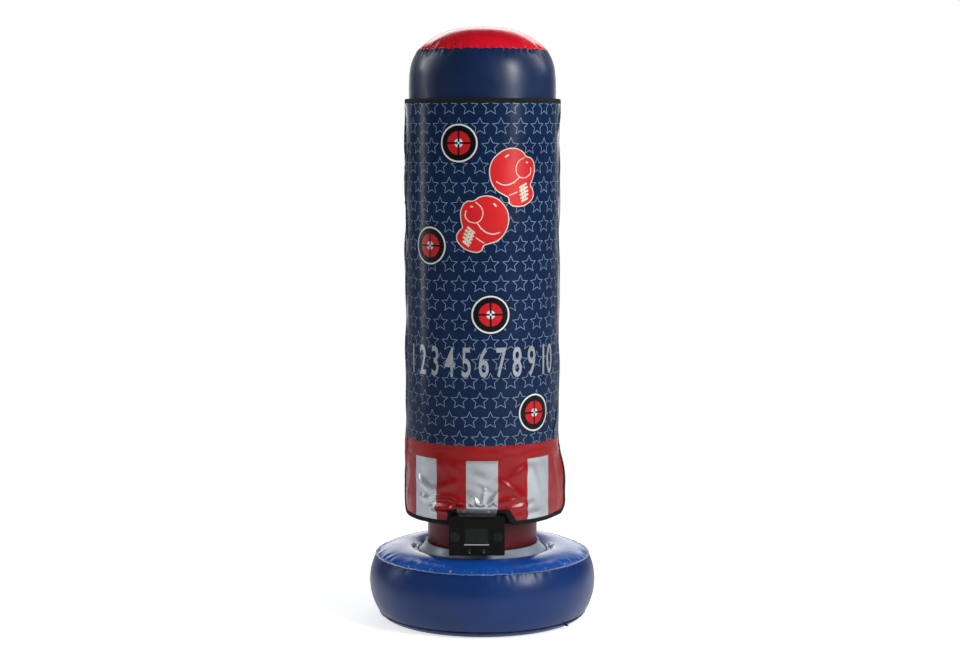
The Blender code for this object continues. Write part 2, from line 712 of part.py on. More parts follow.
def mat_layers(pivot):
    face = mat_sheet("mat_face_sheet", mat_outline(), FACE_R, FACE_SHEET, "printed_vinyl", pivot)
    foam = mat_sheet("mat_foam_pad", mat_outline(), FOAM_R, FOAM, "foam", pivot)
    lining = mat_sheet("mat_lining", mat_outline(), LINING_R, LINING, "lining_cloth", pivot)
    for sheet in (face, foam, lining):
        cut_rivet_holes(sheet, COLLAR_Z)
    for number, target in enumerate(TARGETS, 1):
        s, z = target_place(target)
        pocket = bent_sheet(
            disc(s, z - COLLAR_Z, SENSOR_R + SENSOR_POCKET_GAP), FOAM_R - FOAM, 3 * FOAM
        )
        cut(foam, pocket, f"pocket_{number}")
        outline = disc(s, z, SENSOR_R)
        mat_sheet(
            f"impact_sensor_{number}",
            outline,
            FOAM_R + GAP,
            SENSOR_THICKNESS,
            "sensor_film",
            pivot,
        )


def mat_binding(pivot):
    edge = mat_outline(BINDING_EDGE_GAP + BINDING_WALL)
    depth = MAT_OUTER_R - BACK_LAP_R
    binding = mat_sheet("mat_binding", edge, BACK_LAP_R, depth, "webbing", pivot)
    channel = bent_sheet(mat_outline(BINDING_EDGE_GAP), LINING_R - GAP, FRONT_LAP_R - LINING_R + GAP)
    window = bent_sheet(mat_outline(-BINDING_LAP), BACK_LAP_R - depth, 3 * depth)
    middle = math.asin(CONSOLE_X / BEND_R) * BEND_R
    half = RIBBON_WIDTH / 2 + 2 * GAP
    slot_low, slot_high = NOTCH_Z - BINDING_LAP, NOTCH_Z + BINDING_LAP / 2
    slot_outline = rectangle(middle - half, middle + half, slot_low, slot_high)
    slot = bent_sheet(slot_outline, RIBBON_R - GAP, RIBBON + 2 * GAP)
    for name, bm in (("channel", channel), ("window", window), ("ribbon_slot", slot)):
        bmesh.ops.translate(bm, verts=bm.verts, vec=(0.0, 0.0, -COLLAR_Z))
        cut(binding, bm, name)
    cut_rivet_holes(binding, COLLAR_Z)


def sensor_ribbon(pivot):
    """One flat cable: a trunk down to the console with a branch under each sensor."""
    middle = math.asin(CONSOLE_X / BEND_R) * BEND_R
    half, arm = RIBBON_WIDTH / 2, BRANCH_WIDTH / 2
    places = [target_place(target) for target in TARGETS]
    right = sorted((z, s) for s, z in places if s > middle)
    left = sorted(((z, s) for s, z in places if s < middle), reverse=True)
    turn_z = CONSOLE_Z + RIBBON_TURN_Z
    outline = [(middle - half, turn_z), (middle + half, turn_z)]
    for edge, branches in ((middle + half, right), (middle - half, left)):
        way = -1.0 if edge > middle else 1.0
        for z, s in branches:
            outline += [(edge, z + way * arm), (s, z + way * arm)]
            outline += [(s, z - way * arm), (edge, z - way * arm)]
        if edge > middle:
            top = max(z for _, z in places) + 2 * arm
            outline += [(edge, top), (middle - half, top)]
    ribbon = mat_sheet("sensor_ribbon", outline, RIBBON_R, RIBBON, "ribbon_cable", pivot)
    run = bmesh.new()
    back = -RIBBON_R * FLAT
    front = CONSOLE_FRONT_Y + PCB_FRONT_Y + PCB_T + SOCKET_D + GAP
    low = turn_z - COLLAR_Z
    add_box(run, (CONSOLE_X - half, front, low), (CONSOLE_X + half, back, low + RIBBON))
    join(ribbon, run, "run_to_board")


def strap_lift(s):
    """The left half of a strap climbs over the right half, on the facet before they meet."""
    climb_start = ROUND_STEPS // 2 - math.ceil(STRAP_OVERLAP) - 1
    share = min(max(abs(s) / BEND_R / FACET - climb_start, 0.0), 1.0)
    return (STRAP_THICKNESS + GAP) * share


def back_straps(pivot):
    start = MAT_HALF_WIDTH + BINDING_EDGE_GAP + BINDING_WALL + STRAP_END_GAP
    end = (ROUND_STEPS / 2 + STRAP_OVERLAP) * FACET * BEND_R
    radius = COLUMN_R + GAP
    for level, place in STRAP_PLACES.items():
        low = mat_height(place) - STRAP_WIDTH / 2
        high = low + STRAP_WIDTH
        for side, outline, lift in (
            ("left", rectangle(-end, -start, low, high), strap_lift),
            ("right", rectangle(start, end, low, high), None),
        ):
            name = f"back_strap_{level}_{side}"
            bm = bent_sheet(outline, radius, STRAP_THICKNESS, lift)
            bmesh.ops.translate(bm, verts=bm.verts, vec=(0.0, 0.0, -COLLAR_Z))
            new_part(name, mesh_from(bm, name), "webbing", pivot)


# ---- Hanger -------------------------------------------------------------------------------------------------


def hanger(pivot):
    middle = math.asin(CONSOLE_X / BEND_R) * BEND_R
    half = HANGER_W / 2
    plate_z = CONSOLE_TOP_Z + GAP
    top = NOTCH_Z + HANGER_RISE
    strip = rectangle(middle - half, middle + half, plate_z, top)
    front_r = MAT_OUTER_R + GAP
    bracket = mat_sheet("hanger_bracket", strip, front_r, HANGER_T, "silver_trim", pivot)
    plate = bmesh.new()
    low = plate_z - COLLAR_Z
    add_box(
        plate,
        (CONSOLE_X - HANGER_PLATE_W / 2, CONSOLE_FRONT_Y + HANGER_PLATE_FRONT, low),
        (CONSOLE_X + HANGER_PLATE_W / 2, CONSOLE_FRONT_Y + HANGER_PLATE_BACK, low + HANGER_T),
    )
    join(bracket, plate, "plate")
    holes = bmesh.new()
    ribbon_y = -(RIBBON_R + RIBBON / 2) * FLAT
    add_box(
        holes,
        (CONSOLE_X - RIBBON_SLOT_W / 2, ribbon_y - RIBBON_SLOT_T / 2, low - HANGER_T),
        (CONSOLE_X + RIBBON_SLOT_W / 2, ribbon_y + RIBBON_SLOT_T / 2, low + 2 * HANGER_T),
    )
    stud_y = CONSOLE_FRONT_Y + STUD_Y
    for x in (CONSOLE_X - STUD_X, CONSOLE_X + STUD_X):
        add_rod(holes, (x, stud_y, low - HANGER_T), (x, stud_y, low + 2 * HANGER_T), STUD_R + GAP)
    cut(bracket, holes, "slot_and_stud_holes")
    cut_rivet_holes(bracket, COLLAR_Z)
    back_r = BACK_LAP_R - GAP - HANGER_T
    back = rectangle(middle - half, middle + half, NOTCH_Z, top)
    strip_behind = mat_sheet("hanger_back_strip", back, back_r, HANGER_T, "silver_trim", pivot)
    cut_rivet_holes(strip_behind, COLLAR_Z)
    for side, s in rivet_places():
        bm = bmesh.new()
        head = front_r + HANGER_T + GAP
        z = NOTCH_Z + RIVET_RISE - COLLAR_Z
        radial_rod(bm, s, z, back_r - GAP - RIVET_HEAD_T, head + RIVET_HEAD_T / 2, RIVET_R)
        rivet = new_part(f"hanger_rivet_{side}", mesh_from(bm, "rivet"), "steel", pivot)
        heads = bmesh.new()
        radial_rod(heads, s, z, head, head + RIVET_HEAD_T, RIVET_HEAD_R)
        tail = back_r - GAP
        radial_rod(heads, s, z, tail - RIVET_HEAD_T, tail, RIVET_HEAD_R)
        join(rivet, heads, "heads")


# ---- Console ------------------------------------------------------------------------------------------------


def console_box(name, front, back, console):
    """Half a case: a rounded box from front to back, before it is hollowed."""
    bm = bmesh.new()
    add_box(bm, (-CONSOLE_W / 2, front, 0.0), (CONSOLE_W / 2, back, CONSOLE_H))
    corners = [
        edge
        for edge in bm.edges
        if abs(edge.verts[0].co.y - edge.verts[1].co.y) > (back - front) / 2
    ]
    bmesh.ops.bevel(
        bm, geom=corners, offset=CONSOLE_ROUND, segments=3, affect="EDGES", profile=0.5, material=-1
    )
    return new_part(name, mesh_from(bm, name), "black_plastic", console)


def console_front_shell(console):
    edge = SHELL_SPLIT - GAP / 2
    shell = console_box("console_front_shell", 0.0, edge, console)
    inside = CONSOLE_W / 2 - CONSOLE_WALL
    hollow = bmesh.new()
    add_box(
        hollow,
        (-inside, CONSOLE_WALL, CONSOLE_WALL),
        (inside, CONSOLE_D, CONSOLE_H - CONSOLE_WALL),
    )
    cut(shell, hollow, "hollow")
    bosses = bmesh.new()
    for x in (-SHELL_SCREW_X, SHELL_SCREW_X):
        for z in SHELL_SCREW_Z:
            add_rod(bosses, (x, CONSOLE_WALL / 2, z), (x, edge, z), BOSS_R)
    for x in (-SPEAKER_X, SPEAKER_X):
        ring = (x, CONSOLE_WALL / 2, SPEAKER_Z), (x, RING_DEPTH, SPEAKER_Z)
        add_rod(bosses, *ring, SPEAKER_R + RING_WALL, 16)
    for x in (-STAKE_X, STAKE_X):
        for z in STAKE_Z:
            add_rod(bosses, (x, CONSOLE_WALL / 2, z), (x, PCB_FRONT_Y - GAP, z), POST_R)
    join(shell, bosses, "bosses")
    pins = bmesh.new()
    for x in (-STAKE_X, STAKE_X):
        for z in STAKE_Z:
            tip = PCB_FRONT_Y + PCB_T + STAKE_TIP
            add_rod(pins, (x, PCB_FRONT_Y / 2, z), (x, tip, z), STAKE_R)
    for x in (-STUD_X, STUD_X):
        foot, tip = CONSOLE_H - CONSOLE_WALL / 2, CONSOLE_H + HANGER_T + STUD_TIP
        add_rod(pins, (x, STUD_Y, foot), (x, STUD_Y, tip), STUD_R)
    join(shell, pins, "pins")
    holes = bmesh.new()
    half_w, half_h = SCREEN_W / 2 - SILL, SCREEN_H / 2 - SILL
    add_box(
        holes,
        (-half_w, -CONSOLE_WALL, SCREEN_Z - half_h),
        (half_w, 2 * CONSOLE_WALL, SCREEN_Z + half_h),
    )
    for x in (-BUTTON_X, BUTTON_X):
        hole_r = BUTTON_R + BUTTON_HOLE_GAP
        add_rod(holes, (x, -CONSOLE_WALL, BUTTON_Z), (x, 2 * CONSOLE_WALL, BUTTON_Z), hole_r)
    for x in (-SPEAKER_X, SPEAKER_X):
        seat = (x, CONSOLE_WALL, SPEAKER_Z), (x, 2 * RING_DEPTH, SPEAKER_Z)
        add_rod(holes, *seat, SPEAKER_R + GAP, 16)
    for x in (-SHELL_SCREW_X, SHELL_SCREW_X):
        for z in SHELL_SCREW_Z:
            pilot = (x, SHELL_SCREW_TIP_Y - SCREW_GAP, z), (x, CONSOLE_D, z)
            add_rod(holes, *pilot, SCREW_R + SCREW_GAP)
    cut(shell, holes, "holes")
    grille = bmesh.new()
    for x in (-SPEAKER_X, SPEAKER_X):
        for ring_r, count in GRILLE_RINGS:
            for turn in range(count):
                a = 2 * math.pi * turn / count
                hole_x = x + ring_r * math.sin(a)
                hole_z = SPEAKER_Z + ring_r * math.cos(a)
                ends = (hole_x, -CONSOLE_WALL, hole_z), (hole_x, 2 * CONSOLE_WALL, hole_z)
                add_rod(grille, *ends, GRILLE_HOLE_R, 8)
    cut(shell, grille, "grille_holes")


def console_back_shell(console):
    front = SHELL_SPLIT + GAP / 2
    shell = console_box("console_back_shell", front, CONSOLE_D, console)
    inside = CONSOLE_W / 2 - CONSOLE_WALL
    hollow = bmesh.new()
    add_box(
        hollow,
        (-inside, 0.0, CONSOLE_WALL),
        (inside, CONSOLE_D - CONSOLE_WALL, CONSOLE_H - CONSOLE_WALL),
    )
    cut(shell, hollow, "hollow")
    pocket_low = DOOR_BOTTOM_Z - DOOR_GAP
    pocket_high = DOOR_TOP_Z + DOOR_TOP_GAP
    pocket_half = DOOR_W / 2 + DOOR_GAP
    bay_floor = CELL_Y - CELL_R - GAP
    solid = bmesh.new()
    add_box(
        solid,
        (-pocket_half - BAY_WALL, bay_floor - BAY_FLOOR_T, pocket_low - BAY_WALL),
        (pocket_half + BAY_WALL, CONSOLE_D - CONSOLE_WALL / 2, pocket_high + BAY_WALL),
    )
    for x in (-SHELL_SCREW_X, SHELL_SCREW_X):
        for z in SHELL_SCREW_Z:
            add_rod(solid, (x, front, z), (x, CONSOLE_D - CONSOLE_WALL / 2, z), BOSS_R)
    join(shell, solid, "battery_box_and_bosses")
    bay = bmesh.new()
    add_box(bay, (-BAY_HALF_W, bay_floor, BAY_BOTTOM_Z), (BAY_HALF_W, CONSOLE_D, BAY_TOP_Z))
    cut(shell, bay, "battery_bay")
    holes = bmesh.new()
    add_box(
        holes,
        (-pocket_half, DOOR_POCKET_Y, pocket_low),
        (pocket_half, CONSOLE_D + CONSOLE_WALL, pocket_high),
    )
    for x in (-SHELL_SCREW_X, SHELL_SCREW_X):
        for z in SHELL_SCREW_Z:
            shank = (x, 0.0, z), (x, CONSOLE_D - SCREW_HEAD_T / 2, z)
            add_rod(holes, *shank, SCREW_R + SCREW_GAP)
    ribbon_y = -(RIBBON_R + RIBBON / 2) * FLAT - CONSOLE_FRONT_Y
    add_box(
        holes,
        (-RIBBON_SLOT_W / 2, ribbon_y - RIBBON_SLOT_T / 2, CONSOLE_H - 2 * CONSOLE_WALL),
        (RIBBON_SLOT_W / 2, ribbon_y + RIBBON_SLOT_T / 2, CONSOLE_H + CONSOLE_WALL),
    )
    cut(shell, holes, "door_pocket_and_holes")
    heads = bmesh.new()
    for x in (-SHELL_SCREW_X, SHELL_SCREW_X):
        for z in SHELL_SCREW_Z:
            sink = CONSOLE_D - SCREW_HEAD_T - 2 * GAP
            sunk = (x, sink, z), (x, CONSOLE_D + SCREW_HEAD_T, z)
            add_rod(heads, *sunk, SCREW_HEAD_R + SCREW_GAP)
    pilot_end = CONSOLE_D - DOOR_SCREW_LENGTH - SCREW_GAP
    pilot = (0.0, pilot_end, DOOR_SCREW_Z), (0.0, CONSOLE_D, DOOR_SCREW_Z)
    add_rod(heads, *pilot, SCREW_R + SCREW_GAP)
    cut(shell, heads, "screw_head_recesses")


def console_face(console):
    """The raised middle of the front: bezel, lens and trim bar."""
    bm = bmesh.new()
    add_box(
        bm,
        (-BEZEL_W / 2, -BEZEL_T - GAP, BEZEL_MARGIN_Z),
        (BEZEL_W / 2, -GAP, CONSOLE_H - BEZEL_MARGIN_Z),
    )
    bezel = new_part("console_bezel", mesh_from(bm, "console_bezel"), "black_plastic", console)
    holes = bmesh.new()
    add_box(
        holes,
        (-SCREEN_W / 2, -2 * BEZEL_T, SCREEN_Z - SCREEN_H / 2),
        (SCREEN_W / 2, BEZEL_T, SCREEN_Z + SCREEN_H / 2),
    )
    for x in (-BUTTON_X, BUTTON_X):
        through = (x, -2 * BEZEL_T, BUTTON_Z), (x, BEZEL_T, BUTTON_Z)
        add_rod(holes, *through, BUTTON_R + BUTTON_HOLE_GAP)
    cut(bezel, holes, "openings")
    lens = bmesh.new()
    add_box(
        lens,
        (-SCREEN_W / 2 + GAP, -GAP - LENS_T, SCREEN_Z - SCREEN_H / 2 + GAP),
        (SCREEN_W / 2 - GAP, -GAP, SCREEN_Z + SCREEN_H / 2 - GAP),
    )
    new_part("screen_lens", mesh_from(lens, "screen_lens"), "lens", console)
    bar = bmesh.new()
    front = -BEZEL_T - 2 * GAP
    add_box(bar, (-TRIM_W / 2, front - TRIM_T, TRIM_Z), (TRIM_W / 2, front, TRIM_Z + TRIM_H))
    new_part("console_trim_bar", mesh_from(bar, "console_trim_bar"), "silver_trim", console)


def console_buttons(console):
    flange_y = CONSOLE_WALL + GAP
    back = flange_y + BUTTON_FLANGE_T + BUTTON_TRAVEL + GAP
    for side, x in (("left", -BUTTON_X), ("right", BUTTON_X)):
        slide = new_empty(f"{side}_button_slide", (x, 0.0, BUTTON_Z), parent=console)
        bm = bmesh.new()
        add_rod(bm, (0, -BUTTON_PROUD, 0), (0, back, 0), BUTTON_R)
        name = f"{side}_button"
        button = new_part(name, mesh_from(bm, name), "black_plastic", slide)
        flange = bmesh.new()
        flange_back = flange_y + BUTTON_FLANGE_T
        add_rod(flange, (0, flange_y, 0), (0, flange_back, 0), BUTTON_R + BUTTON_FLANGE_RIM)
        join(button, flange, "flange")
        dome = bmesh.new()
        ends = (x, back + GAP, BUTTON_Z), (x, PCB_FRONT_Y - GAP, BUTTON_Z)
        add_rod(dome, *ends, DOME_TIP_R, end_radius=DOME_FOOT_R)
        new_part(f"{side}_button_dome", mesh_from(dome, "dome"), "silicone", console)


def console_electronics(console):
    bm = bmesh.new()
    add_box(
        bm,
        (-PCB_W / 2, PCB_FRONT_Y, PCB_BOTTOM_Z),
        (PCB_W / 2, PCB_FRONT_Y + PCB_T, PCB_TOP_Z),
    )
    board = new_part("main_circuit_board", mesh_from(bm, "board"), "circuit_board", console)
    socket = bmesh.new()
    back = PCB_FRONT_Y + PCB_T
    socket_z = RIBBON_TURN_Z + RIBBON / 2
    add_box(
        socket,
        (-SOCKET_W / 2, back - PCB_T / 2, socket_z - SOCKET_H / 2),
        (SOCKET_W / 2, back + SOCKET_D, socket_z + SOCKET_H / 2),
    )
    join(board, socket, "ribbon_socket")
    holes = bmesh.new()
    for x in (-STAKE_X, STAKE_X):
        for z in STAKE_Z:
            add_rod(holes, (x, 0.0, z), (x, 2 * back, z), STAKE_R + GAP)
    cut(board, holes, "stake_holes")
    module = bmesh.new()
    half_w, half_h = SCREEN_W / 2 + MODULE_RIM_X, SCREEN_H / 2 + MODULE_RIM_Z
    add_box(
        module,
        (-half_w, CONSOLE_WALL + GAP, SCREEN_Z - half_h),
        (half_w, PCB_FRONT_Y - GAP, SCREEN_Z + half_h),
    )
    new_part("display_module", mesh_from(module, "display_module"), "display", console)
    for side, x in (("left", -SPEAKER_X), ("right", SPEAKER_X)):
        bm = bmesh.new()
        front = CONSOLE_WALL + GAP
        add_rod(bm, (x, front, SPEAKER_Z), (x, front + SPEAKER_DEPTH, SPEAKER_Z), SPEAKER_R, 16)
        new_part(f"{side}_speaker", mesh_from(bm, "speaker"), "black_plastic", console)


def console_batteries(console):
    for number in range(CELL_COUNT):
        z = CELL_FIRST_Z + number * CELL_PITCH
        half = CELL_LENGTH / 2
        bm = bmesh.new()
        add_rod(bm, (-half, CELL_Y, z), (half, CELL_Y, z), CELL_R)
        new_part(f"battery_{number + 1}", mesh_from(bm, "battery"), "cell_jacket", console)
    for side, way in (("left", -1.0), ("right", 1.0)):
        outer = BAY_HALF_W - GAP
        inner = outer - CONTACT_T
        plate = bmesh.new()
        low, high = sorted((way * outer, way * inner))
        add_box(
            plate,
            (low, CELL_Y - CELL_R, CELL_LOWEST_Z),
            (high, CELL_Y + CELL_R, BAY_TOP_Z - BAY_GAP),
        )
        name = f"battery_contact_{side}"
        contact = new_part(name, mesh_from(plate, name), "steel", console)
        springs = bmesh.new()
        for number in range(CELL_COUNT):
            z = CELL_FIRST_Z + number * CELL_PITCH
            root = (way * (inner + CONTACT_T / 2), CELL_Y, z)
            tip = (way * (CELL_LENGTH / 2 + GAP), CELL_Y, z)
            add_rod(springs, root, tip, CONTACT_SPRING_R, end_radius=CONTACT_TIP_R)
        join(contact, springs, "springs")


def battery_door(console):
    back = CONSOLE_D - GAP / 2
    front = back - DOOR_T
    hinge_y, hinge_z = (front + back) / 2, DOOR_TOP_Z - DOOR_HINGE_DROP
    hinge = new_empty("battery_door_hinge", (0.0, hinge_y, hinge_z), parent=console)
    bm = bmesh.new()
    add_box(
        bm,
        (-DOOR_W / 2, front - hinge_y, DOOR_BOTTOM_Z - hinge_z),
        (DOOR_W / 2, back - hinge_y, DOOR_TOP_Z - hinge_z),
    )
    door = new_part("battery_door", mesh_from(bm, "battery_door"), "black_plastic", hinge)
    screw_z = DOOR_SCREW_Z - hinge_z
    hole = bmesh.new()
    through = (0, -DOOR_T, screw_z), (0, DOOR_T, screw_z)
    add_rod(hole, *through, SCREW_R + SCREW_GAP)
    cut(door, hole, "screw_hole")
    bm = bmesh.new()
    head = back - hinge_y + GAP
    tip = head - DOOR_SCREW_LENGTH
    add_rod(bm, (0, tip, screw_z), (0, head + SCREW_HEAD_T / 2, screw_z), SCREW_R)
    screw = new_part("battery_door_screw", mesh_from(bm, "door_screw"), "steel", hinge)
    cap = bmesh.new()
    add_rod(cap, (0, head, screw_z), (0, head + SCREW_HEAD_T, screw_z), SCREW_HEAD_R)
    join(screw, cap, "head")


def shell_screws(console):
    number = 0
    for x in (-SHELL_SCREW_X, SHELL_SCREW_X):
        for z in SHELL_SCREW_Z:
            number += 1
            head = CONSOLE_D - SCREW_HEAD_T - GAP
            bm = bmesh.new()
            add_rod(bm, (x, SHELL_SCREW_TIP_Y, z), (x, head + SCREW_HEAD_T / 2, z), SCREW_R)
            screw = new_part(f"shell_screw_{number}", mesh_from(bm, "screw"), "steel", console)
            cap = bmesh.new()
            add_rod(cap, (x, head, z), (x, head + SCREW_HEAD_T, z), SCREW_HEAD_R)
            join(screw, cap, "head")


# ---- Assembly -----------------------------------------------------------------------------------------------


def main():
    base_side_panel()
    base_top_panel()
    base_bottom_panel()
    base_ballast()
    neck_gusset()
    valve("base_air_valve", "base_air_plug", base_valve_seat(1.0))
    valve("base_fill_port", "base_fill_plug", base_valve_seat(-1.0))

    lean = new_empty("lean_pivot", (0.0, 0.0, COLLAR_Z))
    neck_weld_collar(lean)
    sway = new_empty("sway_pivot", (0.0, 0.0, 0.0), parent=lean)
    bag_panels(sway)
    turn = Matrix.Rotation(math.radians(-90), 4, "X")
    seat = Matrix.Translation((0.0, COLUMN_R, COLUMN_VALVE_Z - COLLAR_Z)) @ turn
    valve("column_air_valve", "column_air_plug", seat, sway)
    mat_layers(sway)
    mat_binding(sway)
    sensor_ribbon(sway)
    back_straps(sway)
    hanger(sway)

    place = (CONSOLE_X, CONSOLE_FRONT_Y, CONSOLE_Z - COLLAR_Z)
    console = new_empty("console_frame", place, parent=sway)
    console_front_shell(console)
    console_back_shell(console)
    console_face(console)
    console_buttons(console)
    console_electronics(console)
    console_batteries(console)
    battery_door(console)
    shell_screws(console)


main()
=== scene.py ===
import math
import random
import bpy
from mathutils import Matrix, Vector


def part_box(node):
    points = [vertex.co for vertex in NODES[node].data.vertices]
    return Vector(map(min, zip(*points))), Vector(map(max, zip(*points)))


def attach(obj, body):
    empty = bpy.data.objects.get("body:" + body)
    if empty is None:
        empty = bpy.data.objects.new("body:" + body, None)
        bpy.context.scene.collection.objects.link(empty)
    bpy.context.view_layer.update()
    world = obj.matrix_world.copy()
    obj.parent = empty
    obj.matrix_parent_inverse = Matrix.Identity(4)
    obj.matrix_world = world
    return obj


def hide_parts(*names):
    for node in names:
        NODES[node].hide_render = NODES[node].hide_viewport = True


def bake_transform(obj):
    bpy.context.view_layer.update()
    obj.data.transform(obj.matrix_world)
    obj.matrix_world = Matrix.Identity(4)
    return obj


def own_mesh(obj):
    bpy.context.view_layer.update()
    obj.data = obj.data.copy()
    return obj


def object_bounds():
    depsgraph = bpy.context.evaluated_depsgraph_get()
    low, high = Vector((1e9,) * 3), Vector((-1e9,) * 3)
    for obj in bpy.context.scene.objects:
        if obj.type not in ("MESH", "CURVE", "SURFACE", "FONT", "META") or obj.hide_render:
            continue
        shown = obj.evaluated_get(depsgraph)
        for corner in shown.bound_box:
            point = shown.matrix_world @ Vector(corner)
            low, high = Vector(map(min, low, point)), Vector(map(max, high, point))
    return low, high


bl_info = {
    "name": "Inflatable Boxing Bag",
    "version": (1, 0, 0),
    "blender": (4, 5, 0),
    "location": "View3D > Sidebar > Boxing Bag",
    "description": "Builds a free-standing inflatable boxing bag with its scoring mat and console",
    "category": "Add Mesh",
}

import bmesh
import bpy
from bpy.props import FloatProperty, FloatVectorProperty, IntProperty, PointerProperty, StringProperty
from mathutils import Matrix, Vector, noise

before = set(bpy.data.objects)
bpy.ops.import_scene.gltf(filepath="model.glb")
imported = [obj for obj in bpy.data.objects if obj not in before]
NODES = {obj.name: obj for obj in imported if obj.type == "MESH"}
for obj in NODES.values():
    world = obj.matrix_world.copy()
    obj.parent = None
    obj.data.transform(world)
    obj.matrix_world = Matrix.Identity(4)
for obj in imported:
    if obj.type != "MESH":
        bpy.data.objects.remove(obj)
CAD_BOX = [list(corner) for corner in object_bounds()]

# ---- Sizes taken from the frame ------------------------------------------------------------------


def outer_radius(node):
    """Radius of a round node that is centred on the bag's axis."""
    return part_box(node)[1].x


def front_radius(node):
    """Radius of the outer face of a sheet that is bent round the front of the bag."""
    return -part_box(node)[0].y


BAG_HEIGHT = CAD_BOX[1][2]
COLUMN_R = outer_radius("column_side_panel")
NECK_R = outer_radius("neck_panel")
NECK_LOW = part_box("neck_panel")[0].z
NECK_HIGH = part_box("neck_panel")[1].z
SHOULDER_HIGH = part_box("shoulder_panel")[1].z
LINING_R = front_radius("mat_lining")
FOAM_R = front_radius("mat_foam_pad")
FACE_R = front_radius("mat_face_sheet")
BINDING_R = front_radius("mat_binding")
MAT_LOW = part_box("mat_face_sheet")[0].z
MAT_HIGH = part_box("mat_face_sheet")[1].z
COLLAR_LOW, COLLAR_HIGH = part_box("neck_weld_collar")
BEZEL_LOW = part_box("console_bezel")[0]
SENSORS = [f"impact_sensor_{number}" for number in range(1, 5)]
SIDE_R = COLUMN_R - 0.0003  # the column's vinyl, just inside the outer radius of its CAD node

# Steps round the axis
NECK_STEPS = 288
BAG_STEPS = 360
RING_STEPS = 480
WELD_STEPS = 720

VINYL = 0.0012
LINING = 0.0008
FOAM = 0.0022
FACE_SHEET = 0.0008
BEND_R = FOAM_R - FOAM / 2  # widths along the mat are true at this radius

# Base ring: points of its section, as (radius, height)
TOP_SEAM = (0.2720, 0.1630)
WIDEST = (0.2890, 0.0930)
BOTTOM_SEAM = (0.2640, 0.0150)
FLOOR_EDGE = (0.2380, 0.0)
CREST = (0.2000, 0.1850)
WELL = (0.1650, 0.1720)

# Column
DOME_SEAM = (0.1620, 1.4430)
CROWN_LOW = 1.3300
CROWN_POWER = 3.4
DOME_POWER = 2.8

# Mat, measured flat: s along its width from the middle of the front, z up
MAT_WIDTH = 0.610
MAT_BOTTOM_CORNER = 0.034
MAT_TOP_CORNER = 0.018
NOTCH = ((-0.0800, 0.2680), (-0.0775, 0.2985), (0.0560, 0.2985), (0.0760, 0.2680))
LAP = 0.010
TAPE = 0.0008
STRAP_HEIGHTS = {"upper": 1.284, "middle": 0.830, "lower": 0.361}
STRAP_START = 0.298
STRAP_END = 0.6446
STRAP_OVERLAP_START = 0.5372
SENSOR_HOLE = 0.052  # radius of the gap that the foam leaves round a sensor
FINE_BELOW, FINE_LEFT = 0.425, -0.240  # below the one or left of the other, the face's mesh is finer
HELD_ABOVE, FREE_BELOW = 0.475, 0.350  # the mat's sides come free of the bag between the two
HELD_TO = 0.288  # s where the mat leaves the bag when its sides are held
LEFT_FLARE = 0.4  # how far the left side comes free, as a share of the right
EDGE_WAVE = 0.232  # length of the waves in the mat's edges

# Print on the mat
STAR_INK_R = FACE_R + 0.0002
INK_R = FACE_R + 0.00045
GLOVE_INK_R = FACE_R + 0.00060
LINE_INK_R = FACE_R + 0.00072
STAR_STRIP, PRINT_STRIP = 0.0055, 0.005  # strips that print is cut into, so that it bends
STAR_WAIST = 0.47  # a star's inner corners, as a share of its radius
STAR_TOP = 1.2995  # height of the first row
STAR_STARTS = (-0.0317, -0.0062)  # s of a star in the even rows and in the odd ones
STRIPE_PITCH = 0.1575
STRIPES_MIDDLE = -0.0010  # s of the middle of the stripes
COUNT_WIDTH = 0.424
COUNT_MIDDLE = 0.6750  # height of the middle of the numbers
COUNT_WEIGHT = 0.012  # how far the numbers are fattened, for a size of 1

# ---- Settings that a user may change -------------------------------------------------------------


def length(name, description, default):
    return FloatProperty(
        name=name, description=description, default=default, min=0.0, unit="LENGTH", precision=4
    )


def colour(name, description, default):
    return FloatVectorProperty(
        name=name, description=description, default=default, subtype="COLOR", size=3, min=0.0, max=1.0
    )


class BagSizes(bpy.types.PropertyGroup):
    """Sizes of what is inflated, sewn and printed"""

    pucker_depth: length("Pucker depth", "Depth of the gathers along the welded seams", 0.0024)
    flange: length("Weld flange", "How far a weld stands out of the base ring", 0.0030)
    mat_cell: length("Mat cell", "Size of the mat's mesh cells", 0.0050)
    flare: length("Mat flare", "Width of the mat's lower corners that comes free of the bag", 0.0700)
    strap_width: length("Strap width", "Width of the straps behind the bag", 0.0380)
    stitch: length("Stitch", "Pitch of the stitches in the binding", 0.0045)
    star_radius: length("Star size", "Radius of a printed star", 0.0232)
    star_line: length("Star line", "Width of a star's outline", 0.0015)
    star_pitch: length("Star pitch", "Distance between stars in a row", 0.0510)
    star_row: length("Star rows", "Distance between rows of stars", 0.0480)
    band_height: length("Band height", "Height of the upper edge of the red band", 0.4675)
    stripe_height: length("Stripe height", "Height of the upper end of the white stripes", 0.4305)
    stripe_width: length("Stripe width", "Width of a white stripe", 0.0780)
    target_radius: length("Target size", "Radius of a printed target", 0.0495)
    glove_height: length("Glove size", "Height of a printed glove", 0.1440)
    count_height: length("Count height", "Height of the printed numbers", 0.0755)
    stripes: IntProperty(name="Stripes", description="Number of white stripes", default=3, min=0)
    count: StringProperty(
        name="Count", description="Numbers printed across the mat", default="1 2 3 4 5 6 7 8 9 10"
    )


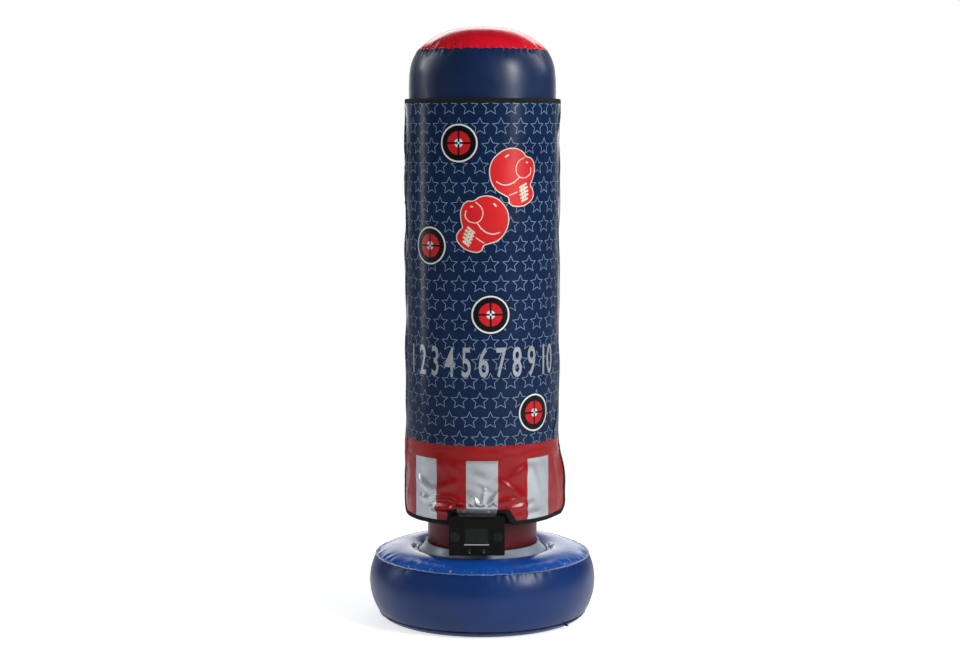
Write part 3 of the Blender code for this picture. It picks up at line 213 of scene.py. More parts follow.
class BagColours(bpy.types.PropertyGroup):
    """Colours of the bag's vinyl and of what is printed on it"""

    column: colour("Column", "Vinyl of the column", (0.0075, 0.0240, 0.0830))
    dome: colour("Dome", "Vinyl of the dome", (0.8000, 0.0080, 0.0240))
    neck: colour("Neck", "Vinyl of the neck", (0.1250, 0.0070, 0.0110))
    # The cone's pale grey-blue is the base's blue vinyl with a painted sheen: the white reflection it
    # shows is painted into its colour.
    cone: colour("Cone", "Vinyl of the cone between the ring and the neck", (0.3200, 0.3700, 0.4500))
    ring_side: colour("Ring side", "Vinyl of the ring's side", (0.0065, 0.0360, 0.1650))
    # The ring's top is the same blue vinyl as its side, painted lighter as if lit from above.
    ring_top: colour("Ring top", "Vinyl of the ring's top", (0.0085, 0.0850, 0.4200))
    mat: colour("Mat", "Ground colour of the mat", (0.0060, 0.0210, 0.0690))
    stars: colour("Stars", "Outlines of the stars", (0.2200, 0.3200, 0.4600))
    red_print: colour("Red print", "Red of the band, targets and gloves", (0.6200, 0.0110, 0.0150))
    white_print: colour("White print", "White of the stripes", (0.6300, 0.6600, 0.7000))
    cream_print: colour("Cream print", "Outlines and laces of the gloves", (0.8600, 0.7700, 0.6200))
    black: colour("Black", "Plastic, binding and webbing", (0.0100, 0.0100, 0.0110))


# ---- Node materials ------------------------------------------------------------------------------


def add_node(tree, kind, inputs=(), **settings):
    """A node with its settings; inputs maps a socket's name or number to a value or another socket."""
    made = tree.nodes.new(kind)
    for name, value in settings.items():
        setattr(made, name, value)
    for name, value in dict(inputs).items():
        if isinstance(value, bpy.types.NodeSocket):
            tree.links.new(value, made.inputs[name])
        else:
            made.inputs[name].default_value = value
    return made


def mix(tree, factor, first, second):
    """Blends two colours, which are inputs 6 and 7 and output 2 of the node."""
    inputs = {0: factor, 6: first, 7: second}
    return add_node(tree, "ShaderNodeMix", inputs, data_type="RGBA").outputs[2]


def mix_shaders(tree, factor, first, second):
    return add_node(tree, "ShaderNodeMixShader", {0: factor, 1: first, 2: second}).outputs[0]


def calculate(tree, operation, first, second):
    made = add_node(tree, "ShaderNodeMath", {0: first, 1: second}, operation=operation)
    return made.outputs["Value"]


def bumped(tree, height, distance, strength, under=None):
    """A normal that follows a height of so many metres, over another normal if there is one."""
    inputs = {"Height": height, "Distance": distance, "Strength": strength}
    if under is not None:
        inputs["Normal"] = under
    return add_node(tree, "ShaderNodeBump", inputs).outputs["Normal"]


def shade(rgb, strength):
    return (*(min(1.0, channel * strength) for channel in rgb), 1.0)


def place_of(tree, flat):
    """Object coordinates, or the mat's own flat coordinates in metres."""
    if flat:
        return add_node(tree, "ShaderNodeUVMap", uv_map="flat").outputs["UV"]
    return add_node(tree, "ShaderNodeTexCoord").outputs["Object"]


def noise_at(tree, place, scale, detail=3.0):
    return add_node(
        tree, "ShaderNodeTexNoise", {"Vector": place, "Scale": scale, "Detail": detail}
    ).outputs["Fac"]


def ranged(tree, value, low, high, start=0.3, end=0.7):
    return add_node(
        tree,
        "ShaderNodeMapRange",
        {"Value": value, "From Min": start, "From Max": end, "To Min": low, "To Max": high},
    ).outputs["Result"]


def new_finish(name, metallic=0.0, gloss=0.5):
    """An empty material with a shader whose uniform values are set on its own sockets."""
    material = bpy.data.materials.new(name)
    material.use_nodes = True
    shader = material.node_tree.nodes["Principled BSDF"]
    shader.inputs["Metallic"].default_value = metallic
    shader.inputs["Specular IOR Level"].default_value = gloss
    return material, material.node_tree, shader


def vinyl(name, rgb, rough=(0.28, 0.38), ripple=0.0006, worn=0.0, metallic=0.0, gloss=0.45):
    """Glossy sheet vinyl: cloudy colour, a fine grain and soft ripples that break its reflections."""
    found = bpy.data.materials.get(name)
    if found:
        return found
    material, tree, shader = new_finish(name, metallic, gloss)
    place = place_of(tree, False)
    cloud = ranged(tree, noise_at(tree, place, 9.0, 4.0), 0.0, 1.0)
    base = mix(tree, cloud, shade(rgb, 0.86), shade(rgb, 1.12))
    if worn:
        flecks = ranged(tree, noise_at(tree, place, 240.0, 6.0), 0.0, worn, 0.52, 0.66)
        base = mix(tree, flecks, base, shade(rgb, 0.35))
    tree.links.new(base, shader.inputs["Base Color"])
    smear = noise_at(tree, place, 22.0, 5.0)
    tree.links.new(ranged(tree, smear, *rough), shader.inputs["Roughness"])
    grain = bumped(tree, noise_at(tree, place, 420.0, 1.0), 0.00003, 0.4)
    soft = bumped(tree, noise_at(tree, place, 16.0, 2.0), ripple, 0.8, grain)
    tree.links.new(soft, shader.inputs["Normal"])
    return material


def woven(name, rgb, pitch, depth=0.00012, flat=True):
    """A plain weave of two crossing threads, with lint and a soft sheen."""
    found = bpy.data.materials.get(name)
    if found:
        return found
    material, tree, shader = new_finish(name, gloss=0.2)
    shader.inputs["Sheen Weight"].default_value = 0.04
    shader.inputs["Sheen Roughness"].default_value = 0.5
    place = place_of(tree, flat)
    threads = []
    for direction in ("X", "Y"):
        band = add_node(
            tree,
            "ShaderNodeTexWave",
            {"Vector": place, "Scale": 0.314 / pitch, "Distortion": 0.3, "Detail": 1.0},
            bands_direction=direction,
        )
        threads.append(band.outputs["Fac"])
    cloth = calculate(tree, "MULTIPLY", *threads)
    lint = ranged(tree, noise_at(tree, place, 120.0, 4.0), 0.75, 1.25)
    lit = calculate(tree, "MULTIPLY", cloth, lint)
    tree.links.new(mix(tree, lit, shade(rgb, 0.6), shade(rgb, 1.9)), shader.inputs["Base Color"])
    tree.links.new(ranged(tree, cloth, 0.85, 0.62, 0.0, 1.0), shader.inputs["Roughness"])
    tree.links.new(bumped(tree, cloth, depth, 0.9), shader.inputs["Normal"])
    return material


def moulded(name, rgb, rough=(0.38, 0.52), grain=700.0, metallic=0.0, brushed=False, gloss=0.4):
    """Moulded plastic with a fine spark-eroded grain, or metal that is brushed along X."""
    found = bpy.data.materials.get(name)
    if found:
        return found
    material, tree, shader = new_finish(name, metallic, gloss)
    place = place_of(tree, False)
    if brushed:
        place = add_node(
            tree, "ShaderNodeMapping", {"Vector": place, "Scale": (0.04, 1.0, 1.0)}
        ).outputs["Vector"]
    cloud = ranged(tree, noise_at(tree, place, 35.0, 4.0), 0.0, 1.0)
    tree.links.new(mix(tree, cloud, shade(rgb, 0.85), shade(rgb, 1.2)), shader.inputs["Base Color"])
    smear = noise_at(tree, place, 60.0, 5.0)
    tree.links.new(ranged(tree, smear, *rough), shader.inputs["Roughness"])
    texture = bumped(tree, noise_at(tree, place, grain, 2.0), 0.03 / grain, 0.6)
    tree.links.new(texture, shader.inputs["Normal"])
    return material


# ---- Mesh helpers --------------------------------------------------------------------------------


def clamp(value):
    return max(0.0, min(1.0, value))


def between(start, end, share):
    """The point that lies a share of the way from one point to another."""
    return tuple(a + (b - a) * share for a, b in zip(start, end))


def smooth(low, high, value):
    """0 before low and 1 after high, which may be the smaller of the two."""
    share = clamp((value - low) / (high - low))
    return share * share * (3.0 - 2.0 * share)


def finish_piece(bm, name, materials, body, replaces=(), smooth_faces=True, sharp=35.0):
    """Makes a mesh a piece that rides on the body named, or stays where it is when body is not a name,
    and stands for the CAD nodes named.
    """
    mesh = bpy.data.meshes.new(name)
    bm.to_mesh(mesh)
    bm.free()
    if smooth_faces:
        mesh.shade_smooth()
        mesh.set_sharp_from_angle(angle=math.radians(sharp))
    piece = bpy.data.objects.new(name, mesh)
    bpy.context.scene.collection.objects.link(piece)
    for material in materials:
        mesh.materials.append(material)
    if isinstance(body, str):
        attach(piece, body)
    else:
        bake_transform(piece)
    if replaces:
        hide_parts(*replaces)
    return piece


def thicken(piece, thickness, offset=-1.0):
    """Gives a surface its wall: inwards of it, or to both of its sides with an offset of 0."""
    wall = piece.modifiers.new("Wall", "SOLIDIFY")
    wall.thickness = thickness
    wall.offset = offset
    wall.use_even_offset = False
    wall.use_rim = True
    return piece


def skin(bm, name, material, body, slot, *nodes):
    """A sheet as thick as the vinyl, which stands for the CAD nodes named."""
    return thicken(finish_piece(bm, name, [material], body, nodes), VINYL)


def face_towards(bm, direction):
    """Turns a sheet's faces so that they look the way direction(centre) says."""
    bmesh.ops.recalc_face_normals(bm, faces=bm.faces)
    bm.normal_update()
    looks = sum(face.normal.dot(direction(face.calc_center_median())) for face in bm.faces)
    if looks < 0:
        bmesh.ops.reverse_faces(bm, faces=bm.faces)
        bm.normal_update()


def from_axis(point):
    return Vector((point.x, point.y, 0.0))


def upwards(point):
    return Vector((0.0, 0.0, 1.0))


def turned(profile, steps):
    """A line of (radius, height) points turned about the bag's axis."""
    bm = bmesh.new()
    verts = [bm.verts.new((r, 0.0, z)) for r, z in profile]
    edges = [bm.edges.new(pair) for pair in zip(verts, verts[1:])]
    bmesh.ops.spin(
        bm,
        geom=verts + edges,
        cent=(0.0, 0.0, 0.0),
        axis=(0.0, 0.0, 1.0),
        dvec=(0.0, 0.0, 0.0),
        angle=2.0 * math.pi,
        space=Matrix.Identity(4),
        steps=steps,
        use_merge=True,
        use_normal_flip=False,
        use_duplicate=False,
    )
    bmesh.ops.remove_doubles(bm, verts=bm.verts, dist=0.000002)
    return bm


def arc_through(start, middle, end, steps):
    """Points along the circle through three points, both ends included."""
    (ax, ay), (bx, by), (cx, cy) = start, middle, end
    d = 2 * (ax * (by - cy) + bx * (cy - ay) + cx * (ay - by))
    a2, b2, c2 = ax * ax + ay * ay, bx * bx + by * by, cx * cx + cy * cy
    ux = (a2 * (by - cy) + b2 * (cy - ay) + c2 * (ay - by)) / d
    uy = (a2 * (cx - bx) + b2 * (ax - cx) + c2 * (bx - ax)) / d
    radius = math.hypot(ax - ux, ay - uy)
    first, last = math.atan2(ay - uy, ax - ux), math.atan2(cy - uy, cx - ux)
    angles = [first + (last - first) * i / steps for i in range(steps + 1)]
    return [(ux + radius * math.cos(a), uy + radius * math.sin(a)) for a in angles]


def crest_arc(crest, edge, steps):
    """Points of the circle that is level at crest and passes through edge, both ends included."""
    run, drop = edge[0] - crest[0], crest[1] - edge[1]
    radius = (run * run + drop * drop) / (2 * drop)
    sweep = math.asin(abs(run) / radius)
    side = math.copysign(1.0, run)
    angles = [sweep * i / steps for i in range(steps + 1)]
    return [
        (crest[0] + side * radius * math.sin(a), crest[1] - radius * (1 - math.cos(a)))
        for a in angles
    ]


# ---- Gathers along a weld ------------------------------------------------------------------------


class Gathers:
    """Uneven creases that run away from a weld, where the sheet was drawn together.

    Depth and reach are the most that a crease has, and width is a middling crease's; seam is the
    weld, as (radius, height).
    """

    def __init__(self, seed, count, depth, width, reach, seam):
        draw = random.Random(seed)
        self.seam = seam
        self.step = 2.0 * math.pi / count
        self.creases = [
            (
                (number + draw.uniform(0.15, 0.85)) * self.step,
                depth * draw.uniform(0.25, 1.0),
                width * draw.uniform(0.6, 1.4),
                reach * draw.choice((0.35, 0.5, 0.6, 0.8, 1.0)),
                draw.uniform(-1.2, 1.2),
            )
            for number in range(count)
        ]

    def press(self, angle, radius, away):
        """Depth of the creases at an angle, at a distance from the weld."""
        total = 0.0
        nearest = int(angle / self.step)
        for number in range(nearest - 2, nearest + 3):
            at, depth, width, reach, lean = self.creases[number % len(self.creases)]
            if away < reach:
                gap = (angle - at + math.pi) % (2.0 * math.pi) - math.pi
                across = (gap * radius - lean * away * 0.25) / (width * (1.0 + away / reach))
                total += depth * math.exp(-across * across) * (1.0 - away / reach) ** 1.5
        return total


def angle_of(point):
    """Angle about the bag's axis, from the middle of the front towards the bag's +X side."""
    return math.atan2(point.x, -point.y) % (2.0 * math.pi)


def gather(bm, gathers):
    """Presses the creases of each weld into a surface that faces outwards."""
    bm.normal_update()
    places = []
    for vert in bm.verts:
        angle, radius = angle_of(vert.co), math.hypot(vert.co.x, vert.co.y)
        depth = 0.0
        for weld in gathers:
            away = math.hypot(radius - weld.seam[0], vert.co.z - weld.seam[1])
            depth += weld.press(angle, radius, away)
        places.append(vert.co - vert.normal * depth)
    for vert, place in zip(bm.verts, places):
        vert.co = place


def swell(bm, height, pitch, seed):
    """Slow, smooth unevenness of an inflated wall."""
    bm.normal_update()
    for vert in bm.verts:
        vert.co += vert.normal * height * noise.noise(vert.co / pitch + Vector((seed, 0.0, 0.0)))


# ---- The mat's own shape -------------------------------------------------------------------------

# Creases of the face sheet: (start s, start z, end s, end z, height, half width)
FOLDS = (
    (-0.292, 1.296, -0.266, 1.150, 0.0046, 0.0060),
    (-0.266, 1.150, -0.274, 1.060, 0.0044, 0.0056),
    (-0.248, 1.205, -0.268, 1.120, 0.0030, 0.0050),
    (-0.274, 1.060, -0.258, 0.975, 0.0038, 0.0056),
    (-0.286, 1.000, -0.278, 0.880, 0.0036, 0.0060),
    (-0.262, 0.930, -0.282, 0.800, 0.0030, 0.0070),
    (-0.280, 0.770, -0.268, 0.640, 0.0032, 0.0065),
    (-0.272, 0.620, -0.284, 0.500, 0.0034, 0.0065),
    (-0.258, 0.480, -0.276, 0.380, 0.0044, 0.0070),
    (-0.236, 0.360, -0.262, 0.300, 0.0030, 0.0080),
    (0.288, 1.300, 0.258, 1.240, 0.0036, 0.0060),
    (0.286, 1.210, 0.274, 1.080, 0.0030, 0.0070),
    (0.268, 1.020, 0.284, 0.900, 0.0028, 0.0070),
    (0.284, 0.780, 0.270, 0.640, 0.0026, 0.0070),
    (0.262, 0.545, 0.222, 0.475, 0.0036, 0.0080),
    (0.206, 0.492, 0.256, 0.436, 0.0036, 0.0080),
    (0.222, 0.410, 0.254, 0.330, 0.0030, 0.0100),
    # crumpled above the console
    (-0.0330, 0.350, -0.0245, 0.312, 0.0046, 0.0048),
    (-0.0240, 0.343, -0.0060, 0.315, 0.0056, 0.0044),
    (0.0040, 0.358, 0.0010, 0.314, 0.0058, 0.0046),
    (0.0380, 0.352, 0.0120, 0.313, 0.0052, 0.0050),
    (0.0240, 0.338, 0.0370, 0.315, 0.0036, 0.0042),
    (-0.0140, 0.370, 0.0160, 0.352, 0.0020, 0.0080),
    (-0.0260, 0.402, 0.0060, 0.382, 0.0022, 0.0110),
    # drawn towards the console's right end
    (0.0460, 0.374, 0.1040, 0.336, 0.0060, 0.0100),
    (0.0500, 0.326, 0.0980, 0.334, 0.0050, 0.0070),
    (0.0620, 0.306, 0.1300, 0.318, 0.0050, 0.0080),
    (0.0700, 0.380, 0.1200, 0.412, 0.0030, 0.0120),
    (0.0880, 0.290, 0.1500, 0.294, 0.0034, 0.0080),
    (0.1360, 0.400, 0.1500, 0.352, 0.0036, 0.0110),
    # gathered left of the console
    (-0.1200, 0.352, -0.0700, 0.374, 0.0044, 0.0100),
    (-0.0660, 0.330, -0.0480, 0.318, 0.0044, 0.0060),
    (-0.1880, 0.376, -0.1420, 0.352, 0.0044, 0.0090),
    (-0.1740, 0.330, -0.1500, 0.326, 0.0044, 0.0080),
    (-0.0960, 0.390, -0.1120, 0.430, 0.0034, 0.0130),
    (-0.0600, 0.398, -0.0860, 0.424, 0.0026, 0.0110),
)

# Arched folds left of the console: (middle s, top z, half length, fall, height, half width)
ARCHES = (
    (-0.096, 0.3415, 0.053, 0.0190, 0.0052, 0.0034),
    (-0.096, 0.3325, 0.047, 0.0150, 0.0042, 0.0032),
    (-0.096, 0.3110, 0.048, 0.0060, 0.0130, 0.0088),
)
HANGER = (-0.014, 0.056, 0.3125)  # middle, half width and top of where the hanger grips the mat


def bent(s, z, radius):
    """Where flat work lands: round the bag, then straight on where the mat's sides come free."""
    way = 1.0 if s > 0 else -1.0
    loose = smooth(HELD_ABOVE, FREE_BELOW, z)
    flare = bpy.context.scene.bag_sizes.flare
    start = HELD_TO - flare * loose * (1.0 if s > 0 else LEFT_FLARE)
    on = min(abs(s), start)
    off = abs(s) - on
    wave = math.sin(2 * math.pi * (z - 0.36) / EDGE_WAVE + 0.6 * way)
    wave += 0.55 * math.sin(z / 0.0205 + way)
    edge = 0.0018 + 0.0013 * wave
    radius += max(edge, 0.0) * smooth(0.225, 0.300, abs(s)) * (1.0 - 0.5 * loose)
    angle = on / BEND_R
    x = radius * math.sin(angle) + off * math.cos(angle)
    y = off * math.sin(angle) - radius * math.cos(angle)
    return Vector((way * x, y, z))


def middle_of(node):
    """The middle of a CAD node's box."""
    low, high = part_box(node)
    return (low + high) / 2


def sensor_place(name):
    """Where the middle of a sensor lies on the flat mat."""
    middle = middle_of(name)
    return math.atan2(middle.x, -middle.y) * BEND_R, middle.z


def stand_off(s, z):
    """How far the mat stands off its plain round shape."""
    return bent(s, z, FACE_R).xy.length - FACE_R


def relief(s, z):
    """How far the face sheet is creased out of the mat's plain shape, 0 under the hanger."""
    height = 0.0
    for s0, z0, s1, z1, high, half in FOLDS:
        if min(z0, z1) - 4 * half < z < max(z0, z1) + 4 * half:
            run = (s1 - s0, z1 - z0)
            share = clamp(((s - s0) * run[0] + (z - z0) * run[1]) / (run[0] ** 2 + run[1] ** 2))
            gap = math.hypot(s - s0 - run[0] * share, z - z0 - run[1] * share) / half
            height += high * math.exp(-gap * gap) * (0.45 + 0.55 * math.sin(math.pi * share))
    for middle, top, reach, rise, high, half in ARCHES:
        along = (s - middle) / reach
        if abs(along) < 1.0:
            gap = (z - top + rise * along * along) / half
            height += high * math.exp(-gap * gap) * (1.0 - along**4)
    low = smooth(0.50, 0.42, z)
    place = Vector((s, 0.0, z))
    height += (0.00035 + 0.0016 * low) * (0.5 + 0.5 * noise.noise(place / (0.070 - 0.036 * low)))
    middle, half, top = HANGER
    free = max(smooth(half, half + 0.012, abs(s - middle)), smooth(top, top + 0.012, z))
    return height * free


def keep_flat(bm):
    """Keeps where flat work lies as its UV map, for the materials that follow the cloth."""
    flat = bm.loops.layers.uv.new("flat")
    for face in bm.faces:
        for loop in face.loops:
            loop[flat].uv = loop.vert.co.xy


def wrap(bm, plain_to=0.0):
    """Bends flat work round the bag, and creases it where it lies further out than plain_to.

    A point is (s, z, radius) before and (x, y, z) after.
    """
    keep_flat(bm)
    for vert in bm.verts:
        s, z, radius = vert.co
        vert.co = bent(s, z, radius + (relief(s, z) if radius > plain_to else 0.0))


def cut_flat(bm, point, normal, clear=False, near=None):
    """Cuts flat work along a line; clear removes what lies on the normal's side."""
    faces = [f for f in bm.faces if near is None or near(f.calc_center_median())]
    geom = {item for face in faces for item in (*face.verts, *face.edges)}
    bmesh.ops.bisect_plane(
        bm,
        geom=list(geom) + faces,
        dist=0.00001,
        plane_co=(*point, 0.0),
        plane_no=(*normal, 0.0),
        clear_outer=clear,
    )


def corner_points(s, z, radius, first_deg, steps=8):
    angles = [math.radians(first_deg + 90.0 * i / steps) for i in range(steps + 1)]
    return [(s + radius * math.cos(a), z + radius * math.sin(a)) for a in angles]


def mat_corners():
    """Each rounded corner's centre, radius and first angle, anticlockwise from the lower left."""
    half, low, high = MAT_WIDTH / 2, MAT_BOTTOM_CORNER, MAT_TOP_CORNER
    return (
        (-half + low, MAT_LOW + low, low, 180.0),
        (half - low, MAT_LOW + low, low, 270.0),
        (half - high, MAT_HIGH - high, high, 0.0),
        (-half + high, MAT_HIGH - high, high, 90.0),
    )


def flat_mat(cell, radius):
    """The mat's flat outline as a grid, with its rounded corners and the notch for the console."""
    height = MAT_HIGH - MAT_LOW
    bm = bmesh.new()
    bmesh.ops.create_grid(
        bm,
        x_segments=round(MAT_WIDTH / cell),
        y_segments=round(height / cell),
        size=0.5,
        matrix=Matrix.Translation((0.0, (MAT_LOW + MAT_HIGH) / 2, 0.0))
        @ Matrix.Diagonal((MAT_WIDTH, height, 1.0, 1.0)),
    )
    for s, z, corner, first in mat_corners():
        points = corner_points(s, z, corner, first)
        for (s0, z0), (s1, z1) in zip(points, points[1:]):
            normal = ((s0 + s1) / 2 - s, (z0 + z1) / 2 - z)
            cut_flat(
                bm, (s0, z0), normal, True, lambda c: math.hypot(c.x - s, c.y - z) < corner * 1.5
            )
    (foot_l, low), (head_l, top), (head_r, _), (foot_r, _) = NOTCH

    def near_notch(centre):
        return abs(centre.x) < 0.12 and centre.y < top + 0.02

    for (s0, z0), (s1, z1) in zip(NOTCH, NOTCH[1:]):
        cut_flat(bm, (s0, z0), (z1 - z0, s0 - s1), False, near_notch)

    def in_notch(centre):
        share = (centre.y - low) / (top - low)
        left, right = between((foot_l, foot_r), (head_l, head_r), share)
        return centre.y < top and left < centre.x < right

    bmesh.ops.delete(
        bm, geom=[f for f in bm.faces if in_notch(f.calc_center_median())], context="FACES"
    )
    for vert in bm.verts:
        vert.co.z = radius
    return bm


def slice_flat(bm, cell=PRINT_STRIP):
    """Cuts flat work into strips that are narrow enough to bend round the bag."""
    low = min(vert.co.x for vert in bm.verts)
    high = max(vert.co.x for vert in bm.verts)
    for line in range(math.ceil(low / cell), math.floor(high / cell) + 1):
        cut_flat(bm, (line * cell, 0.0), (1.0, 0.0))


# ---- Strokes and stitches ------------------------------------------------------------------------


def curve_mesh(points, closed, place, width=0.0, grow=0.0, resolution=8):
    """A smooth curve through flat points as a mesh: a filled shape, or a stroke of a given width."""
    curve = bpy.data.curves.new("work", "CURVE")
    curve.dimensions = "3D" if width else "2D"
    curve.resolution_u = resolution
    curve.offset = grow
    if width:
        curve.bevel_depth = width / 2
        curve.bevel_resolution = 1
        curve.use_fill_caps = True
    else:
        curve.fill_mode = "BOTH"
    spline = curve.splines.new("BEZIER")
    spline.use_cyclic_u = closed
    spline.bezier_points.add(len(points) - 1)
    for knot, (x, y) in zip(spline.bezier_points, points):
        knot.co = (x, y, 0.0)
        knot.handle_left_type = "AUTO"
        knot.handle_right_type = "AUTO"
    work = bpy.data.objects.new("work", curve)
    bpy.context.scene.collection.objects.link(work)
    mesh = bpy.data.meshes.new_from_object(work.evaluated_get(bpy.context.evaluated_depsgraph_get()))
    mesh.transform(place)
    bpy.data.objects.remove(work)
    bpy.data.curves.remove(curve)
    return mesh


def add_flat_mesh(bm, mesh, radius, material=0, thin=0.05):
    """Adds a curve's mesh to flat work as a thin film of ink at a radius."""
    known = set(bm.verts)
    first = len(bm.faces)
    bm.from_mesh(mesh)
    bpy.data.meshes.remove(mesh)
    for vert in bm.verts:
        if vert not in known:
            vert.co.z = radius + vert.co.z * thin
    bm.faces.ensure_lookup_table()
    for face in bm.faces[first:]:
        face.material_index = material


def add_stitch(bm, start, end, out, thick):
    """One stitch: a short thread with rounded ends that lies along a surface."""
    start, end = Vector(start), Vector(end)
    along = (end - start).normalized()
    side = out.cross(along).normalized()
    turn = Matrix((along, side, out.normalized())).transposed().to_4x4()
    size = Matrix.Diagonal(((end - start).length * 0.46, thick, thick, 1.0))
    bmesh.ops.create_icosphere(
        bm, subdivisions=1, radius=1.0, matrix=Matrix.Translation((start + end) / 2) @ turn @ size
    )


def thread_of(black):
    """The thread of every seam, a little paler than the black of the cloth."""
    return woven("thread", shade(black, 3.0)[:3], 0.0006, flat=False)


def sew(bm, points, pitch, radius, thick=0.00032):
    """Stitches along a line of flat points, on the outside of the mat."""
    spare = 0.0
    for (s0, z0), (s1, z1) in zip(points, points[1:]):
        run = math.hypot(s1 - s0, z1 - z0)
        while spare + pitch * 0.6 <= run:
            ends = []
            for at in (spare, spare + pitch * 0.6):
                s, z = between((s0, z0), (s1, z1), at / run)
                ends.append(bent(s, z, radius + relief(s, z)))
            out = from_axis(ends[0])
            add_stitch(bm, *ends, out, thick)
            spare += pitch
        spare = max(spare - run, 0.0)


# ---- Operators -----------------------------------------------------------------------------------


class BaseRing(bpy.types.Operator):
    """Model the inflated base ring, its welds and its pull tabs"""

    bl_idname = "boxing_bag.base_ring"
    bl_label = "Base Ring"

    def execute(self, context):
        sizes, colours = context.scene.bag_sizes, context.scene.bag_colours
        side_vinyl = vinyl("ring_side_vinyl", colours.ring_side, (0.28, 0.38), gloss=0.36)
        # The top's brighter blue is painted light: the side's vinyl, lit from above.
        lit_top_vinyl = vinyl("ring_top_lit_vinyl", colours.ring_top, (0.16, 0.26))
        depth = sizes.pucker_depth
        top_welds = [
            Gathers(3, 150, depth * 1.9, 0.0032, 0.042, TOP_SEAM),
            Gathers(5, 44, depth * 1.0, 0.0055, 0.085, TOP_SEAM),
            Gathers(8, 60, depth * 0.5, 0.0040, 0.022, WELL),
        ]
        side_welds = [
            Gathers(3, 150, depth * 0.75, 0.0032, 0.034, TOP_SEAM),
            Gathers(12, 52, depth * 0.35, 0.0060, 0.048, TOP_SEAM),
            Gathers(14, 130, depth * 0.45, 0.0034, 0.020, BOTTOM_SEAM),
        ]
        bottom_welds = [Gathers(14, 130, depth * 0.5, 0.0034, 0.018, BOTTOM_SEAM)]

        bm = turned(arc_through(TOP_SEAM, WIDEST, BOTTOM_SEAM, 46), RING_STEPS)
        face_towards(bm, from_axis)
        gather(bm, side_welds)
        swell(bm, 0.0009, 0.11, 1.0)
        skin(bm, "ring_side", side_vinyl, "base", "blue_vinyl", "base_side_panel")

        inner = crest_arc(CREST, WELL, 14)
        outer = crest_arc(CREST, TOP_SEAM, 32)
        bm = turned(inner[:0:-1] + outer, RING_STEPS)
        face_towards(bm, upwards)
        gather(bm, top_welds)
        swell(bm, 0.0007, 0.08, 2.0)
        skin(bm, "ring_top", lit_top_vinyl, "base", "blue_vinyl", "base_top_panel")

        rise = crest_arc((FLOOR_EDGE[0], 0.0), (BOTTOM_SEAM[0], -BOTTOM_SEAM[1]), 10)
        profile = [(r, -z) for r, z in rise[::-1]]
        profile += [(FLOOR_EDGE[0] * (1 - i / 24), 0.0) for i in range(1, 25)]
        bm = turned(profile, BAG_STEPS)
        face_towards(bm, lambda point: -upwards(point))
        gather(bm, bottom_welds)
        for vert in bm.verts:
            vert.co.z = max(vert.co.z, 0.0)
        skin(bm, "ring_underside", side_vinyl, "base", "blue_vinyl", "base_bottom_panel")

        # The top weld's pale blue-grey is a painted highlight: the white line that light draws along
        # the seam.
        pale = vinyl("top_weld_highlight_vinyl", (0.19, 0.26, 0.42), (0.30, 0.45), 0.0003)
        # The bottom weld is the ring's vinyl darkened with painted shade, for the shadow along the
        # seam.
        dark = vinyl("bottom_weld_shade_vinyl", shade(colours.ring_side, 0.4)[:3], (0.30, 0.45), 0.0003)
        for name, seam, gathers, bulk, edge in (
            ("ring_top_weld", TOP_SEAM, side_welds[0], 1.0, pale),
            ("ring_bottom_weld", BOTTOM_SEAM, bottom_welds[0], 0.7, dark),
        ):
            self.weld(name, seam, gathers, sizes.flange * bulk, edge)
        self.tabs(colours.black)
        return {"FINISHED"}

    def weld(self, name, seam, gathers, reach, edge):
        """The flattened edge where two sheets are welded, wavy where they gather."""
        r, z = seam
        half = 0.0008
        profile = [
            (r - 0.003, z + half),
            (r + reach * 0.5, z + half),
            (r + reach, z + half * 0.5),
            (r + reach, z - half * 0.5),
            (r + reach * 0.5, z - half),
            (r - 0.003, z - half),
            (r - 0.003, z + half),
        ]
        bm = turned(profile, WELD_STEPS)
        bmesh.ops.recalc_face_normals(bm, faces=bm.faces)
        for vert in bm.verts:
            angle = angle_of(vert.co)
            press = gathers.press(angle, r, 0.0)
            wave = noise.noise(Vector((math.sin(angle), math.cos(angle), z)) * 19.0)
            vert.co.z += 0.0014 * wave - press * 0.55
            shrink = 1.0 - (press * 0.5 + 0.0003 * wave) / r
            vert.co.x *= shrink
            vert.co.y *= shrink
        finish_piece(bm, name, [edge], "base")

    def tabs(self, rgb):
        """Two small tabs of sheet caught in the welds."""
        for name, angle, seam, size in (
            ("ring_rear_tab", 118.0, TOP_SEAM, (0.011, 0.009)),
            ("ring_front_tab", 52.0, (BOTTOM_SEAM[0] - 0.004, 0.0115), (0.012, 0.011)),
        ):
            bm = bmesh.new()
            bmesh.ops.create_grid(bm, x_segments=8, y_segments=8, size=0.5)
            turn = math.radians(angle)
            out = Vector((math.sin(turn), -math.cos(turn), 0.0))
            across = Vector((math.cos(turn), math.sin(turn), 0.0))
            for vert in bm.verts:
                x, y = vert.co.x, vert.co.y + 0.5
                narrow = 1.0 - 0.35 * y * y
                droop = -0.0022 * y * y + 0.0006 * math.sin(7 * x)
                place = out * (seam[0] + y * size[1]) + across * (x * size[0] * narrow)
                vert.co = place + Vector((0.0, 0.0, seam[1] + droop))
            face_towards(bm, upwards)
            sheet = vinyl("tab_vinyl", rgb, (0.4, 0.5), 0.0002)
            thicken(finish_piece(bm, name, [sheet], "base"), 0.0010, 0.0)


